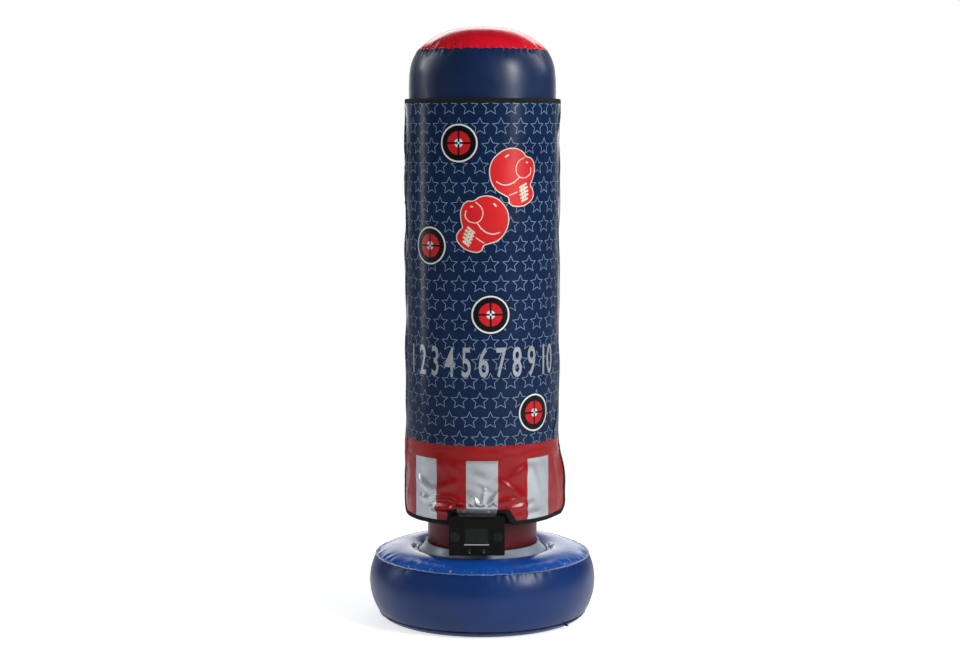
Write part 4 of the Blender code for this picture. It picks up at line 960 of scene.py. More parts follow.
class Neck(bpy.types.Operator):
    """Model the neck: the cone up from the ring, its weld, the neck and the shoulder"""

    bl_idname = "boxing_bag.neck"
    bl_label = "Neck"

    def execute(self, context):
        sizes, colours = context.scene.bag_sizes, context.scene.bag_colours
        depth = sizes.pucker_depth
        # Pale grey-blue: a painted sheen of white reflection on the cone's blue vinyl.
        cone_vinyl = vinyl("cone_vinyl", colours.cone, (0.28, 0.38))
        neck_vinyl = vinyl("neck_vinyl", colours.neck, (0.28, 0.38), 0.0004, gloss=0.3)
        weld_r = (COLLAR_LOW.x + COLLAR_HIGH.x) / 2 + COLLAR_HIGH.x - 0.0025
        low, high = COLLAR_LOW.z, COLLAR_HIGH.z

        foot, head = (WELL[0] - 0.0004, WELL[1] - 0.0004), (weld_r + 0.0008, low - 0.0003)
        profile = []
        for i in range(17):
            share = i / 16
            sag = 0.0012 * math.sin(math.pi * share)
            r, z = between(foot, head, share)
            profile.append((r - sag, z - sag))
        bm = turned(profile, BAG_STEPS)
        face_towards(bm, lambda point: from_axis(point) + Vector((0.0, 0.0, 0.2)))
        gather(bm, [Gathers(21, 84, depth * 0.30, 0.0036, 0.016, head)])
        across = ("base", "neck_collar", (0.0, 0.0, foot[1]), (0.0, 0.0, head[1]))
        skin(bm, "neck_cone", cone_vinyl, across, "blue_vinyl", "neck_gusset")

        section = [
            (weld_r + 0.0024 * math.cos(a), (low + high) / 2 + 0.0010 * math.sin(a))
            for a in (2 * math.pi * i / 12 for i in range(13))
        ]
        bm = turned(section, RING_STEPS)
        bmesh.ops.recalc_face_normals(bm, faces=bm.faces)
        for vert in bm.verts:
            vert.co.z += 0.0003 * noise.noise(Vector((vert.co.x, vert.co.y, 0.0)) * 130.0)
        edge = vinyl("neck_weld_vinyl", shade(colours.neck, 0.5)[:3], (0.32, 0.45), 0.0002)
        finish_piece(bm, "neck_weld", [edge], "neck_collar", ["neck_weld_collar"])

        profile = [(NECK_R, NECK_LOW + (NECK_HIGH - NECK_LOW) * i / 30) for i in range(31)]
        bm = turned(profile, NECK_STEPS)
        face_towards(bm, from_axis)
        gather(bm, [Gathers(23, 70, depth * 0.45, 0.0038, 0.024, (NECK_R, NECK_LOW))])
        across = ("neck_collar", "bag", (0.0, 0.0, NECK_LOW), (0.0, 0.0, NECK_LOW + 0.062))
        skin(bm, "neck_tube", neck_vinyl, across, "dark_red_vinyl", "neck_panel")

        profile = []
        for i in range(31):
            share = i / 30
            z = NECK_HIGH + (SHOULDER_HIGH - NECK_HIGH) * share
            widen = (1.0 - math.cos(math.pi * share)) / 2.0
            profile.append((NECK_R + (SIDE_R - NECK_R) * widen, z))
        bm = turned(profile, NECK_STEPS)
        face_towards(bm, from_axis)
        gather(bm, [Gathers(25, 64, depth * 0.9, 0.0042, 0.040, (NECK_R, NECK_HIGH))])
        skin(bm, "shoulder", neck_vinyl, "bag", "dark_red_vinyl", "shoulder_panel")
        return {"FINISHED"}


class Column(bpy.types.Operator):
    """Model the inflated column and its dome, gathered where they meet"""

    bl_idname = "boxing_bag.column"
    bl_label = "Column and Dome"

    def execute(self, context):
        sizes, colours = context.scene.bag_sizes, context.scene.bag_colours
        depth = sizes.pucker_depth
        seam = Gathers(31, 62, depth * 1.35, 0.0042, 0.040, DOME_SEAM)
        small = Gathers(33, 120, depth * 0.5, 0.0028, 0.020, DOME_SEAM)

        profile = []
        for i in range(37):
            share = (1 - i / 36) ** 0.7
            z = CROWN_LOW + (DOME_SEAM[1] - CROWN_LOW) * share
            profile.append((SIDE_R - (SIDE_R - DOME_SEAM[0]) * share**CROWN_POWER, z))
        rows, low = 64, SHOULDER_HIGH
        profile += [(SIDE_R, CROWN_LOW + (low - CROWN_LOW) * i / rows) for i in range(1, rows + 1)]
        bm = turned(profile, BAG_STEPS)
        face_towards(bm, from_axis)
        self.scallop(bm, seam)
        gather(bm, [seam, small])
        sheet = vinyl("column_vinyl", colours.column, (0.30, 0.40), 0.0005, gloss=0.35)
        nodes = ("column_side_panel", "column_bottom_panel")
        skin(bm, "column_side", sheet, "bag", "navy_vinyl", *nodes)

        rise = BAG_HEIGHT - DOME_SEAM[1]
        profile = []
        for i in range(49):
            share = (i / 48) ** 0.8
            profile.append((DOME_SEAM[0] * share, BAG_HEIGHT - rise * share**DOME_POWER))
        bm = turned(profile, BAG_STEPS)
        face_towards(bm, lambda point: Vector((point.x, point.y, 0.1)))
        self.scallop(bm, seam)
        gather(bm, [seam, small, Gathers(35, 30, depth * 0.6, 0.0060, 0.085, DOME_SEAM)])
        sheet = vinyl("dome_vinyl", colours.dome, (0.17, 0.26), 0.0004)
        skin(bm, "dome", sheet, "bag", "red_vinyl", "column_top_panel")
        return {"FINISHED"}

    def scallop(self, bm, seam):
        """Lifts and lowers the seam between its gathers, on both of the pieces that meet there."""
        for vert in bm.verts:
            angle, radius = angle_of(vert.co), math.hypot(vert.co.x, vert.co.y)
            away = math.hypot(radius - seam.seam[0], vert.co.z - seam.seam[1])
            drop = seam.press(angle, seam.seam[0], 0.0) * 0.9
            wave = 0.0010 * noise.noise(Vector((math.sin(angle), math.cos(angle), 0.0)) * 6.0)
            vert.co.z += (wave - drop) * smooth(0.030, 0.0, away)


class MatLayers(bpy.types.Operator):
    """Model the mat's lining, foam and printed face sheet"""

    bl_idname = "boxing_bag.mat_layers"
    bl_label = "Mat Layers"

    def execute(self, context):
        sizes, colours = context.scene.bag_sizes, context.scene.bag_colours
        cell = sizes.mat_cell

        bm = flat_mat(cell * 2, LINING_R)
        wrap(bm, plain_to=math.inf)
        cloth = woven("lining_cloth", (0.020, 0.020, 0.022), 0.0012)
        lining = finish_piece(
            bm, "mat_lining_cloth", [cloth], "bag", ["mat_lining"]
        )
        thicken(lining, LINING)

        bm = flat_mat(cell * 2, FOAM_R)
        sensors = [sensor_place(name) for name in SENSORS]

        def in_hole(centre):
            return any(math.hypot(centre.x - s, centre.y - z) < SENSOR_HOLE for s, z in sensors)

        inside = [face for face in bm.faces if in_hole(face.calc_center_median())]
        bmesh.ops.delete(bm, geom=inside, context="FACES")
        wrap(bm, plain_to=math.inf)
        sheet = vinyl("foam_sheet", (0.60, 0.60, 0.58), (0.85, 0.95), 0.0002)
        foam = finish_piece(bm, "mat_foam", [sheet], "bag", ["mat_foam_pad"])
        thicken(foam, FOAM)

        bm = flat_mat(cell, FACE_R)
        creased = set()
        for face in bm.faces:
            centre = face.calc_center_median()
            if centre.y < FINE_BELOW or centre.x < FINE_LEFT:
                creased.update(face.edges)
        bmesh.ops.subdivide_edges(bm, edges=list(creased), cuts=1, use_grid_fill=True)
        stripes = []
        for number in range(sizes.stripes):
            middle = (number - (sizes.stripes - 1) / 2) * STRIPE_PITCH + STRIPES_MIDDLE
            stripes.append((middle - sizes.stripe_width / 2, middle + sizes.stripe_width / 2))
        cut_flat(bm, (0.0, sizes.band_height), (0.0, 1.0))
        cut_flat(bm, (0.0, sizes.stripe_height), (0.0, 1.0), near=lambda c: c.y < sizes.band_height)
        for edges in stripes:
            for edge in edges:
                cut_flat(
                    bm, (edge, 0.0), (1.0, 0.0), near=lambda c: c.y < sizes.stripe_height + 0.001
                )
        for face in bm.faces:
            s, z, _ = face.calc_center_median()
            if z < sizes.band_height:
                striped = z < sizes.stripe_height and any(low < s < high for low, high in stripes)
                face.material_index = 2 if striped else 1
        wrap(bm)
        red = shade(colours.red_print, 0.60)[:3]
        sheets = [
            vinyl("mat_ground_vinyl", colours.mat, (0.19, 0.27), 0.0007, gloss=0.24),
            vinyl("mat_red_vinyl", red, (0.17, 0.26), 0.0009, gloss=0.4),
            vinyl("mat_white_vinyl", colours.white_print, (0.19, 0.27), 0.0009, metallic=0.45),
        ]
        face_sheet = finish_piece(
            bm, "mat_face", sheets, "bag", ["mat_face_sheet"], sharp=60.0
        )
        thicken(face_sheet, FACE_SHEET)
        return {"FINISHED"}


class MatBinding(bpy.types.Operator):
    """Model the tape that binds the mat's edge, with its stitches"""

    bl_idname = "boxing_bag.mat_binding"
    bl_label = "Mat Binding"

    def outline(self, grow):
        """Points along the mat's edge, grown outwards; every outline has as many points."""
        lower_left, lower_right, upper_right, upper_left = mat_corners()
        line = []
        for corner in (lower_left, None, lower_right, upper_right, upper_left):
            if corner is None:
                (fl, low), (hl, top), (hr, _), (fr, _) = NOTCH
                line += [(fl + grow, low - grow), (hl + grow, top - grow)]
                line += [(hr - grow, top - grow), (fr - grow, low - grow)]
            else:
                s, z, radius, first = corner
                line += corner_points(s, z, radius + grow, first)
        return line

    def execute(self, context):
        sizes, colours = context.scene.bag_sizes, context.scene.bag_colours
        plain = self.outline(0.0)
        pairs = list(zip(plain, plain[1:] + plain[:1]))
        cuts = [max(1, round(math.dist(a, b) / 0.0045)) for a, b in pairs]

        def dense(grow):
            line = self.outline(grow)
            points = []
            for start, end, count in zip(line, line[1:] + line[:1], cuts):
                points += [between(start, end, i / count) for i in range(count)]
            return points

        front, back = BINDING_R, COLUMN_R + 0.0004
        section = (
            (-LAP, front - 0.0002),
            (-LAP * 0.96, front),
            (-LAP * 0.5, front + 0.0001),
            (-0.0004, front),
            (0.0008, front - 0.0007),
            (0.0014, front - 0.0022),
            (0.0014, back + 0.0022),
            (0.0008, back + 0.0007),
            (-0.0004, back),
            (-LAP, back),
        )
        bm = bmesh.new()
        rings = []
        for grow, radius in section:
            verts = [bm.verts.new((s, z, radius)) for s, z in dense(grow)]
            rings.append([bm.edges.new(pair) for pair in zip(verts, verts[1:] + verts[:1])])
        for first, second in zip(rings, rings[1:]):
            bmesh.ops.bridge_loops(bm, edges=first + second)
        for vert in bm.verts:
            s, z, radius = vert.co
            ripple = noise.noise(Vector((s, z, 0.0)) * 85.0)
            if radius > BEND_R:
                vert.co.z += 0.00022 * ripple
        wrap(bm, plain_to=BEND_R)
        bmesh.ops.recalc_face_normals(bm, faces=bm.faces)
        bm.normal_update()
        outer = [f for f in bm.faces if math.hypot(*f.calc_center_median().xy) > BINDING_R]
        if sum(face.normal.dot(from_axis(face.calc_center_median())) for face in outer) < 0:
            bmesh.ops.reverse_faces(bm, faces=bm.faces)
        tape = woven("binding_tape", colours.black, 0.0011)
        binding = finish_piece(bm, "mat_edge_tape", [tape], "bag", ["mat_binding"])
        thicken(binding, TAPE * 0.9)

        bm = bmesh.new()
        line = self.outline(-LAP * 0.78)
        sew(bm, line + line[:1], sizes.stitch, BINDING_R + 0.0002)
        thread = thread_of(colours.black)
        stitches = finish_piece(bm, "mat_edge_stitches", [thread], "bag")
        return {"FINISHED"}


class StarPrint(bpy.types.Operator):
    """Print the rows of outlined stars"""

    bl_idname = "boxing_bag.star_print"
    bl_label = "Star Print"

    def execute(self, context):
        sizes, colours = context.scene.bag_sizes, context.scene.bag_colours
        star = bmesh.new()
        bmesh.ops.create_circle(star, cap_ends=True, segments=10, radius=sizes.star_radius)
        for vert in star.verts:
            turn = math.degrees(math.atan2(vert.co.y, vert.co.x)) % 72.0
            if abs(turn - 18.0) > 1.0:  # the points are at 18 degrees and every 72 from there
                vert.co *= STAR_WAIST
        bmesh.ops.inset_region(
            star,
            faces=star.faces[:],
            thickness=sizes.star_line,
            use_even_offset=True,
            use_boundary=True,
        )
        inner = [face for face in star.faces if len(face.verts) == 10]
        bmesh.ops.delete(star, geom=inner, context="FACES")
        mesh = bpy.data.meshes.new("work")
        star.to_mesh(mesh)
        star.free()

        bm = bmesh.new()
        edge = MAT_WIDTH / 2 - LAP
        row = 0
        z = STAR_TOP
        while z > sizes.band_height:
            start = STAR_STARTS[row % 2]
            first = math.ceil((-edge - start) / sizes.star_pitch) - 1
            last = math.floor((edge - start) / sizes.star_pitch) + 1
            for column in range(first, last + 1):
                known = len(bm.verts)
                bm.from_mesh(mesh)
                bm.verts.ensure_lookup_table()
                bmesh.ops.translate(
                    bm,
                    verts=bm.verts[known:],
                    vec=(start + column * sizes.star_pitch, z, STAR_INK_R),
                )
            row += 1
            z -= sizes.star_row
        bpy.data.meshes.remove(mesh)
        for point, normal in (
            ((-edge, 0.0), (-1.0, 0.0)),
            ((edge, 0.0), (1.0, 0.0)),
            ((0.0, MAT_HIGH - LAP), (0.0, 1.0)),
            ((0.0, sizes.band_height + 0.0006), (0.0, -1.0)),
        ):
            cut_flat(bm, point, normal, True)
        slice_flat(bm, STAR_STRIP)
        wrap(bm)
        ink = vinyl("star_ink", colours.stars, (0.30, 0.42), 0.0003, worn=0.35)
        finish_piece(bm, "star_print", [ink], "bag", smooth_faces=False)
        return {"FINISHED"}


class Targets(bpy.types.Operator):
    """Print a round target over each impact sensor"""

    bl_idname = "boxing_bag.targets"
    bl_label = "Targets"

    def execute(self, context):
        sizes, colours = context.scene.bag_sizes, context.scene.bag_colours
        inks = [
            vinyl("black_ink", (0.004, 0.004, 0.005), (0.28, 0.38), 0.0004, gloss=0.25),
            vinyl("white_ink", (0.82, 0.83, 0.84), (0.28, 0.38), 0.0004),
            vinyl("red_ink", colours.red_print, (0.28, 0.36), 0.0004, gloss=0.35),
        ]
        for number, name in enumerate(SENSORS, 1):
            self.target(f"target_{number}", *sensor_place(name), sizes.target_radius, inks)
        return {"FINISHED"}

    def target(self, name, s, z, radius, inks):
        bm = bmesh.new()
        bmesh.ops.create_circle(bm, cap_ends=True, segments=72, radius=radius)
        # inner edge of each ring, as a share of the radius, and its ink
        rings = ((0.945, 0), (0.865, 1), (0.590, 0), (0.215, 2), (0.0, 1))
        outer = 1.0
        for inner, ink in rings[:-1]:
            middle = max(bm.faces, key=lambda face: len(face.verts))
            middle.material_index = ink
            bmesh.ops.inset_region(
                bm,
                faces=[middle],
                thickness=(outer - inner) * radius,
                use_even_offset=True,
                use_boundary=True,
            )
            for face in bm.faces:
                if len(face.verts) > 60:
                    face.material_index = rings[-1][1]
            outer = inner
        bar = 0.0024  # half the width of the cross
        reach = radius * 0.59
        for side in (-bar, bar):
            cut_flat(bm, (side, 0.0), (1.0, 0.0), near=lambda c: c.xy.length < reach)
            cut_flat(bm, (0.0, side), (0.0, 1.0), near=lambda c: c.xy.length < reach)
        for face in bm.faces:
            centre = face.calc_center_median()
            far = centre.xy.length
            crossed = abs(centre.x) < bar or abs(centre.y) < bar
            if crossed and 0.10 * radius < far < reach:
                face.material_index = 0
        bmesh.ops.translate(bm, verts=bm.verts, vec=(s, z, INK_R))
        slice_flat(bm)
        wrap(bm)
        finish_piece(bm, name, inks, "bag", smooth_faces=False)


class Gloves(bpy.types.Operator):
    """Print the pair of boxing gloves"""

    bl_idname = "boxing_bag.gloves"
    bl_label = "Gloves"

    # For a glove with a height of 1: the widths of its rim and of a lace
    RIM, LACE = 0.018, 0.038
    # A plain glove, upright with its thumb on the right
    OUTLINE = (
        (-0.12, -0.46),
        (0.14, -0.47),
        (0.25, -0.39),
        (0.26, -0.29),
        (0.24, -0.21),
        (0.32, -0.11),
        (0.41, 0.05),
        (0.40, 0.20),
        (0.30, 0.28),
        (0.24, 0.39),
        (0.07, 0.49),
        (-0.16, 0.47),
        (-0.34, 0.33),
        (-0.41, 0.10),
        (-0.37, -0.09),
        (-0.27, -0.21),
        (-0.21, -0.28),
        (-0.21, -0.39),
    )
    # Lines inside the outline, each with its width
    STROKES = (
        (((0.27, 0.28), (0.13, 0.24), (0.05, 0.12), (0.08, -0.01), (0.19, -0.06)), 0.018),
        (((0.19, -0.06), (0.30, -0.02), (0.34, 0.08)), 0.020),
        (((-0.34, 0.04), (-0.24, -0.05), (-0.08, -0.07), (0.08, -0.01)), 0.022),
        (((-0.20, -0.25), (-0.10, -0.245), (-0.03, -0.24)), 0.016),
        (((-0.07, 0.39), (0.00, 0.41)), 0.034),
        (((0.27, 0.19), (0.31, 0.17)), 0.028),
    )
    LACES = (
        ((0.020, -0.185), (0.180, -0.155)),
        ((0.005, -0.245), (0.185, -0.215)),
        ((-0.005, -0.305), (0.175, -0.275)),
        ((-0.010, -0.365), (0.160, -0.335)),
        ((-0.010, -0.420), (0.130, -0.400)),
        ((0.060, -0.160), (0.030, -0.430)),
        ((0.115, -0.150), (0.085, -0.425)),
    )

    def execute(self, context):
        sizes, colours = context.scene.bag_sizes, context.scene.bag_colours
        inks = [
            vinyl("cream_ink", colours.cream_print, (0.28, 0.38), 0.0004),
            vinyl("glove_ink", shade(colours.red_print, 1.25)[:3], (0.28, 0.36), 0.0004, worn=0.12),
        ]
        for name, s, z, tilt, mirror in (
            ("glove_right", 0.0815, 1.127, 17.0, 1.0),
            ("glove_left", -0.0030, 1.014, -30.0, -1.0),
        ):
            size = sizes.glove_height
            place = (
                Matrix.Translation((s, z, 0.0))
                @ Matrix.Rotation(math.radians(tilt), 4, "Z")
                @ Matrix.Diagonal((size * mirror, size, size, 1.0))
            )
            bm = bmesh.new()
            rim = curve_mesh(self.OUTLINE, True, place, grow=self.RIM)
            add_flat_mesh(bm, rim, INK_R, 0)
            add_flat_mesh(bm, curve_mesh(self.OUTLINE, True, place), GLOVE_INK_R, 1)
            laces = [(points, self.LACE) for points in self.LACES]
            for points, width in (*self.STROKES, *laces):
                add_flat_mesh(bm, curve_mesh(points, False, place, width=width), LINE_INK_R, 0)
            if mirror < 0:
                bmesh.ops.reverse_faces(bm, faces=bm.faces)
            slice_flat(bm)
            wrap(bm)
            finish_piece(bm, name, inks, "bag", smooth_faces=False)
        return {"FINISHED"}


class CountPrint(bpy.types.Operator):
    """Print the row of plain numbers"""

    bl_idname = "boxing_bag.count_print"
    bl_label = "Count Print"

    def execute(self, context):
        sizes = context.scene.bag_sizes
        text = bpy.data.curves.new("work", "FONT")
        text.body = sizes.count
        text.align_x = "CENTER"
        text.offset = COUNT_WEIGHT
        text.resolution_u = 6
        work = bpy.data.objects.new("work", text)
        context.scene.collection.objects.link(work)
        graph = context.evaluated_depsgraph_get()
        mesh = bpy.data.meshes.new_from_object(work.evaluated_get(graph))
        bpy.data.objects.remove(work)
        low = [min(vert.co[axis] for vert in mesh.vertices) for axis in (0, 1)]
        high = [max(vert.co[axis] for vert in mesh.vertices) for axis in (0, 1)]
        grow = (COUNT_WIDTH / (high[0] - low[0]), sizes.count_height / (high[1] - low[1]), 1, 1)
        mesh.transform(
            Matrix.Translation((0.0, COUNT_MIDDLE, 0.0))
            @ Matrix.Diagonal(grow)
            @ Matrix.Translation((-(low[0] + high[0]) / 2, -(low[1] + high[1]) / 2, 0.0))
        )
        bm = bmesh.new()
        add_flat_mesh(bm, mesh, INK_R)
        slice_flat(bm)
        wrap(bm)
        ink = vinyl("silver_ink", (0.50, 0.53, 0.57), (0.28, 0.38), 0.0004, worn=0.6, metallic=0.4)
        finish_piece(bm, "count_print", [ink], "bag", smooth_faces=False)
        return {"FINISHED"}


class Straps(bpy.types.Operator):
    """Model the webbing straps that hold the mat round the bag"""

    bl_idname = "boxing_bag.straps"
    bl_label = "Back Straps"

    def execute(self, context):
        sizes, colours = context.scene.bag_sizes, context.scene.bag_colours
        webbing = woven("strap_webbing", colours.black, 0.0016, 0.0002)
        thread = thread_of(colours.black)
        for level, height in STRAP_HEIGHTS.items():
            for side, way in (("left", -1.0), ("right", 1.0)):
                self.strap(level, side, way, height, sizes.strap_width, webbing, thread)
        return {"FINISHED"}

    def reach(self, way, s, z, height):
        """Radius of a strap: sewn behind the mat's edge, then flat against the bag."""
        edge = stand_off(way * 0.300, z) * smooth(0.372, 0.300, s)
        lap = smooth(STRAP_OVERLAP_START - 0.022, STRAP_OVERLAP_START, s) if way < 0 else 0.0
        curl = 0.0006 * noise.noise(Vector((s * 14.0, height * 3.0, way)))
        return COLUMN_R + 0.0016 + edge + 0.0016 * lap + max(curl, -0.0002)

    def strap(self, level, side, way, height, width, webbing, thread):
        bm = bmesh.new()
        span = STRAP_END - STRAP_START
        bmesh.ops.create_grid(
            bm,
            x_segments=88,
            y_segments=10,
            size=0.5,
            matrix=Matrix.Translation((STRAP_START + span / 2, height, 0.0))
            @ Matrix.Diagonal((span, width, 1.0, 1.0)),
        )
        keep_flat(bm)
        for vert in bm.verts:
            s, z, _ = vert.co
            vert.co = self.on_bag(way, s, z, height)
        face_towards(bm, from_axis)
        skin(bm, f"strap_{level}_{side}", webbing, "bag", "webbing", f"back_strap_{level}_{side}")

        bm = bmesh.new()
        half = width / 2 - 0.0035
        boxes = [(STRAP_START + 0.012, STRAP_START + 0.034)]
        if way < 0:
            boxes.append((STRAP_END - 0.040, STRAP_END - 0.006))
        for start, end in boxes:
            low, high = height - half, height + half
            square = [(start, low), (end, low), (end, high), (start, high), (start, low), (end, high)]
            for (s0, z0), (s1, z1) in zip(square, square[1:]):
                count = max(2, round(math.hypot(s1 - s0, z1 - z0) / 0.0042))
                for i in range(count):
                    ends = []
                    for share in (i / count, (i + 0.62) / count):
                        s, z = between((s0, z0), (s1, z1), share)
                        ends.append(self.on_bag(way, s, z, height, 0.0002))
                    angle = way * s / BEND_R
                    out = Vector((math.sin(angle), -math.cos(angle), 0.0))
                    add_stitch(bm, *ends, out, 0.00034)
        finish_piece(bm, f"strap_stitches_{level}_{side}", [thread], "bag")

    def on_bag(self, way, s, z, height, lift=0.0):
        radius = self.reach(way, s, z, height) + lift
        angle = way * s / BEND_R
        return (radius * math.sin(angle), -radius * math.cos(angle), z)


def dress(material, *names):
    """Gives CAD nodes their finish."""
    for name in names:
        for slot in NODES[name].material_slots:
            slot.material = material


GRILLE_RINGS = ((0.0050, 5), (0.0100, 10))  # radius and number of holes of each ring
GRILLE_HOLE = 0.00088
SIGN_LINE = 0.0006
SIGN_HEIGHT = 0.0034  # above the bezel's lower edge

# Strokes of the sign under each button, about its middle
SIGNS = {
    "left_button": (
        ((0.0, 0.0002), (0.0, 0.0016)),
        ((-0.0010, 0.0010), (-0.0014, -0.0004), (0.0, -0.0014), (0.0014, -0.0004), (0.0010, 0.0010)),
    ),
    "right_button": (
        ((-0.0014, -0.0008), (-0.0014, 0.0008)),
        ((-0.0002, -0.0013), (-0.0002, 0.0013)),
        ((0.0011, -0.0006), (0.0011, 0.0006)),
    ),
}


class Console(bpy.types.Operator):
    """Finish the console's case, screen, buttons and inner parts, and print its marks"""

    bl_idname = "boxing_bag.console"
    bl_label = "Console"

    def execute(self, context):
        black = context.scene.bag_colours.black
        case = moulded("console_plastic", shade(black, 0.4)[:3], (0.42, 0.56), gloss=0.14)
        plain = moulded("speaker_plastic", (0.100, 0.100, 0.100), (0.6, 0.75))
        steel = moulded("steel_parts", (0.55, 0.55, 0.56), (0.28, 0.42), metallic=1.0, brushed=True)
        finishes = {
            case: ("console_front_shell", "console_back_shell", "console_bezel", "battery_door"),
            moulded("button_plastic", (0.014, 0.014, 0.015), (0.30, 0.42), gloss=0.3): (
                "left_button",
                "right_button",
            ),
            moulded("screen_lens", (0.007, 0.009, 0.008), (0.10, 0.16), 90.0, gloss=0.24): (
                "screen_lens",
            ),
            moulded("silver_bar", (0.66, 0.68, 0.68), (0.28, 0.38), metallic=0.9, brushed=True): (
                "console_trim_bar",
            ),
            moulded("display_glass", (0.18, 0.20, 0.16), (0.20, 0.27)): ("display_module",),
            moulded("board_laminate", (0.020, 0.150, 0.040), (0.35, 0.5), 300.0): (
                "main_circuit_board",
            ),
            plain: ("left_speaker", "right_speaker"),
            moulded("cell_jacket", (0.10, 0.11, 0.13), (0.3, 0.4), metallic=0.3): [
                f"battery_{number}" for number in range(1, 4)
            ],
            steel: (
                "battery_contact_left",
                "battery_contact_right",
                "battery_door_screw",
                *(f"shell_screw_{number}" for number in range(1, 5)),
            ),
        }
        for material, names in finishes.items():
            dress(material, *names)
        self.marks(moulded("mark_ink", (0.45, 0.46, 0.47), (0.4, 0.5)))
        cloth = moulded("grille_cloth", (0.30, 0.30, 0.30), (0.7, 0.85), 2400.0)
        silicone = moulded("dome_silicone", (0.25, 0.25, 0.26), (0.65, 0.8))
        for side in ("left", "right"):
            self.grille(side, cloth)
            self.button_dome(side, silicone)
        return {"FINISHED"}

    def button_dome(self, side, silicone):
        """The soft dome behind a button, which gives way when the button is pressed."""
        low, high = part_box(f"{side}_button_dome")
        foot, tall = (high.x - low.x) / 2, high.y - low.y
        tip = foot * 0.55
        profile = (
            (0.0, 0.0),
            (foot * 0.97, 0.0),
            (foot, tall * 0.05),
            (foot * 0.96, tall * 0.14),
            (foot * 0.80, tall * 0.22),
            (tip * 1.12, tall * 0.62),
            (tip, tall * 0.74),
            (tip, tall * 0.93),
            (tip * 0.88, tall),
            (0.0, tall),
        )
        bm = turned(profile, 40)
        bmesh.ops.recalc_face_normals(bm, faces=bm.faces)
        middle = Vector(((low.x + high.x) / 2, high.y, (low.z + high.z) / 2))
        place = Matrix.Translation(middle) @ Matrix.Rotation(math.radians(90.0), 4, "X")
        bmesh.ops.transform(bm, matrix=place, verts=bm.verts)
        name = f"{side}_button_dome"
        dome = finish_piece(bm, f"{name}_soft", [silicone], "bag", [name])
        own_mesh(dome)

    def grille(self, side, cloth):
        """The cloth that shows in the two rings of holes before a speaker."""
        middle = middle_of(f"{side}_speaker")
        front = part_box("console_front_shell")[0].y + 0.0003
        bm = bmesh.new()
        for radius, count in GRILLE_RINGS:
            for number in range(count):
                turn = 2.0 * math.pi * number / count
                x, z = radius * math.sin(turn), radius * math.cos(turn)
                place = Vector((middle.x + x, front, middle.z + z))
                bmesh.ops.create_icosphere(
                    bm,
                    subdivisions=1,
                    radius=GRILLE_HOLE,
                    matrix=Matrix.Translation(place) @ Matrix.Diagonal((1.0, 0.2, 1.0, 1.0)),
                )
        finish_piece(bm, f"{side}_grille_cloth", [cloth], "bag")

    def marks(self, ink):
        """A small sign under each button: a bar in an open ring, and three bars for the sound."""
        front = BEZEL_LOW.y - 0.00012
        face = Matrix.Rotation(math.radians(90.0), 4, "X")
        for button, strokes in SIGNS.items():
            place = (middle_of(button).x, front, BEZEL_LOW.z + SIGN_HEIGHT)
            bm = bmesh.new()
            for points in strokes:
                mesh = curve_mesh(points, False, Matrix.Identity(4), width=SIGN_LINE, resolution=6)
                mesh.transform(Matrix.Diagonal((1.0, 1.0, 0.25, 1.0)))
                mesh.transform(Matrix.Translation(place) @ face)
                bm.from_mesh(mesh)
                bpy.data.meshes.remove(mesh)
            finish_piece(bm, f"{button}_mark", [ink], "bag")


class Hanger(bpy.types.Operator):
    """Finish the hanger that clamps the console to the mat, and the mat's hidden electronics"""

    bl_idname = "boxing_bag.hanger"
    bl_label = "Hanger and Sensors"

    def execute(self, context):
        plate = moulded("hanger_plate", (0.19, 0.20, 0.22), (0.28, 0.42), metallic=0.9, brushed=True)
        dress(plate, "hanger_bracket", "hanger_back_strip")
        rivet = moulded("rivet_steel", (0.42, 0.42, 0.43), (0.28, 0.42), metallic=1.0)
        dress(rivet, "hanger_rivet_left", "hanger_rivet_right")
        film = moulded("sensor_film", (0.55, 0.42, 0.15), (0.4, 0.5), 240.0)
        dress(film, *SENSORS)
        dress(moulded("ribbon_jacket", (0.45, 0.45, 0.45), (0.45, 0.55), 400.0), "sensor_ribbon")
        return {"FINISHED"}


class Valves(bpy.types.Operator):
    """Finish the valves, their plugs and the ballast inside the base"""

    bl_idname = "boxing_bag.valves"
    bl_label = "Valves and Ballast"

    def execute(self, context):
        clear = moulded("valve_plastic", (0.55, 0.60, 0.66), (0.28, 0.42), 260.0)
        dress(
            clear,
            "base_air_valve",
            "base_air_plug",
            "base_fill_port",
            "base_fill_plug",
            "column_air_valve",
            "column_air_plug",
        )
        dress(moulded("ballast_sand", (0.30, 0.33, 0.35), (0.8, 0.95), 300.0), "base_ballast")
        return {"FINISHED"}


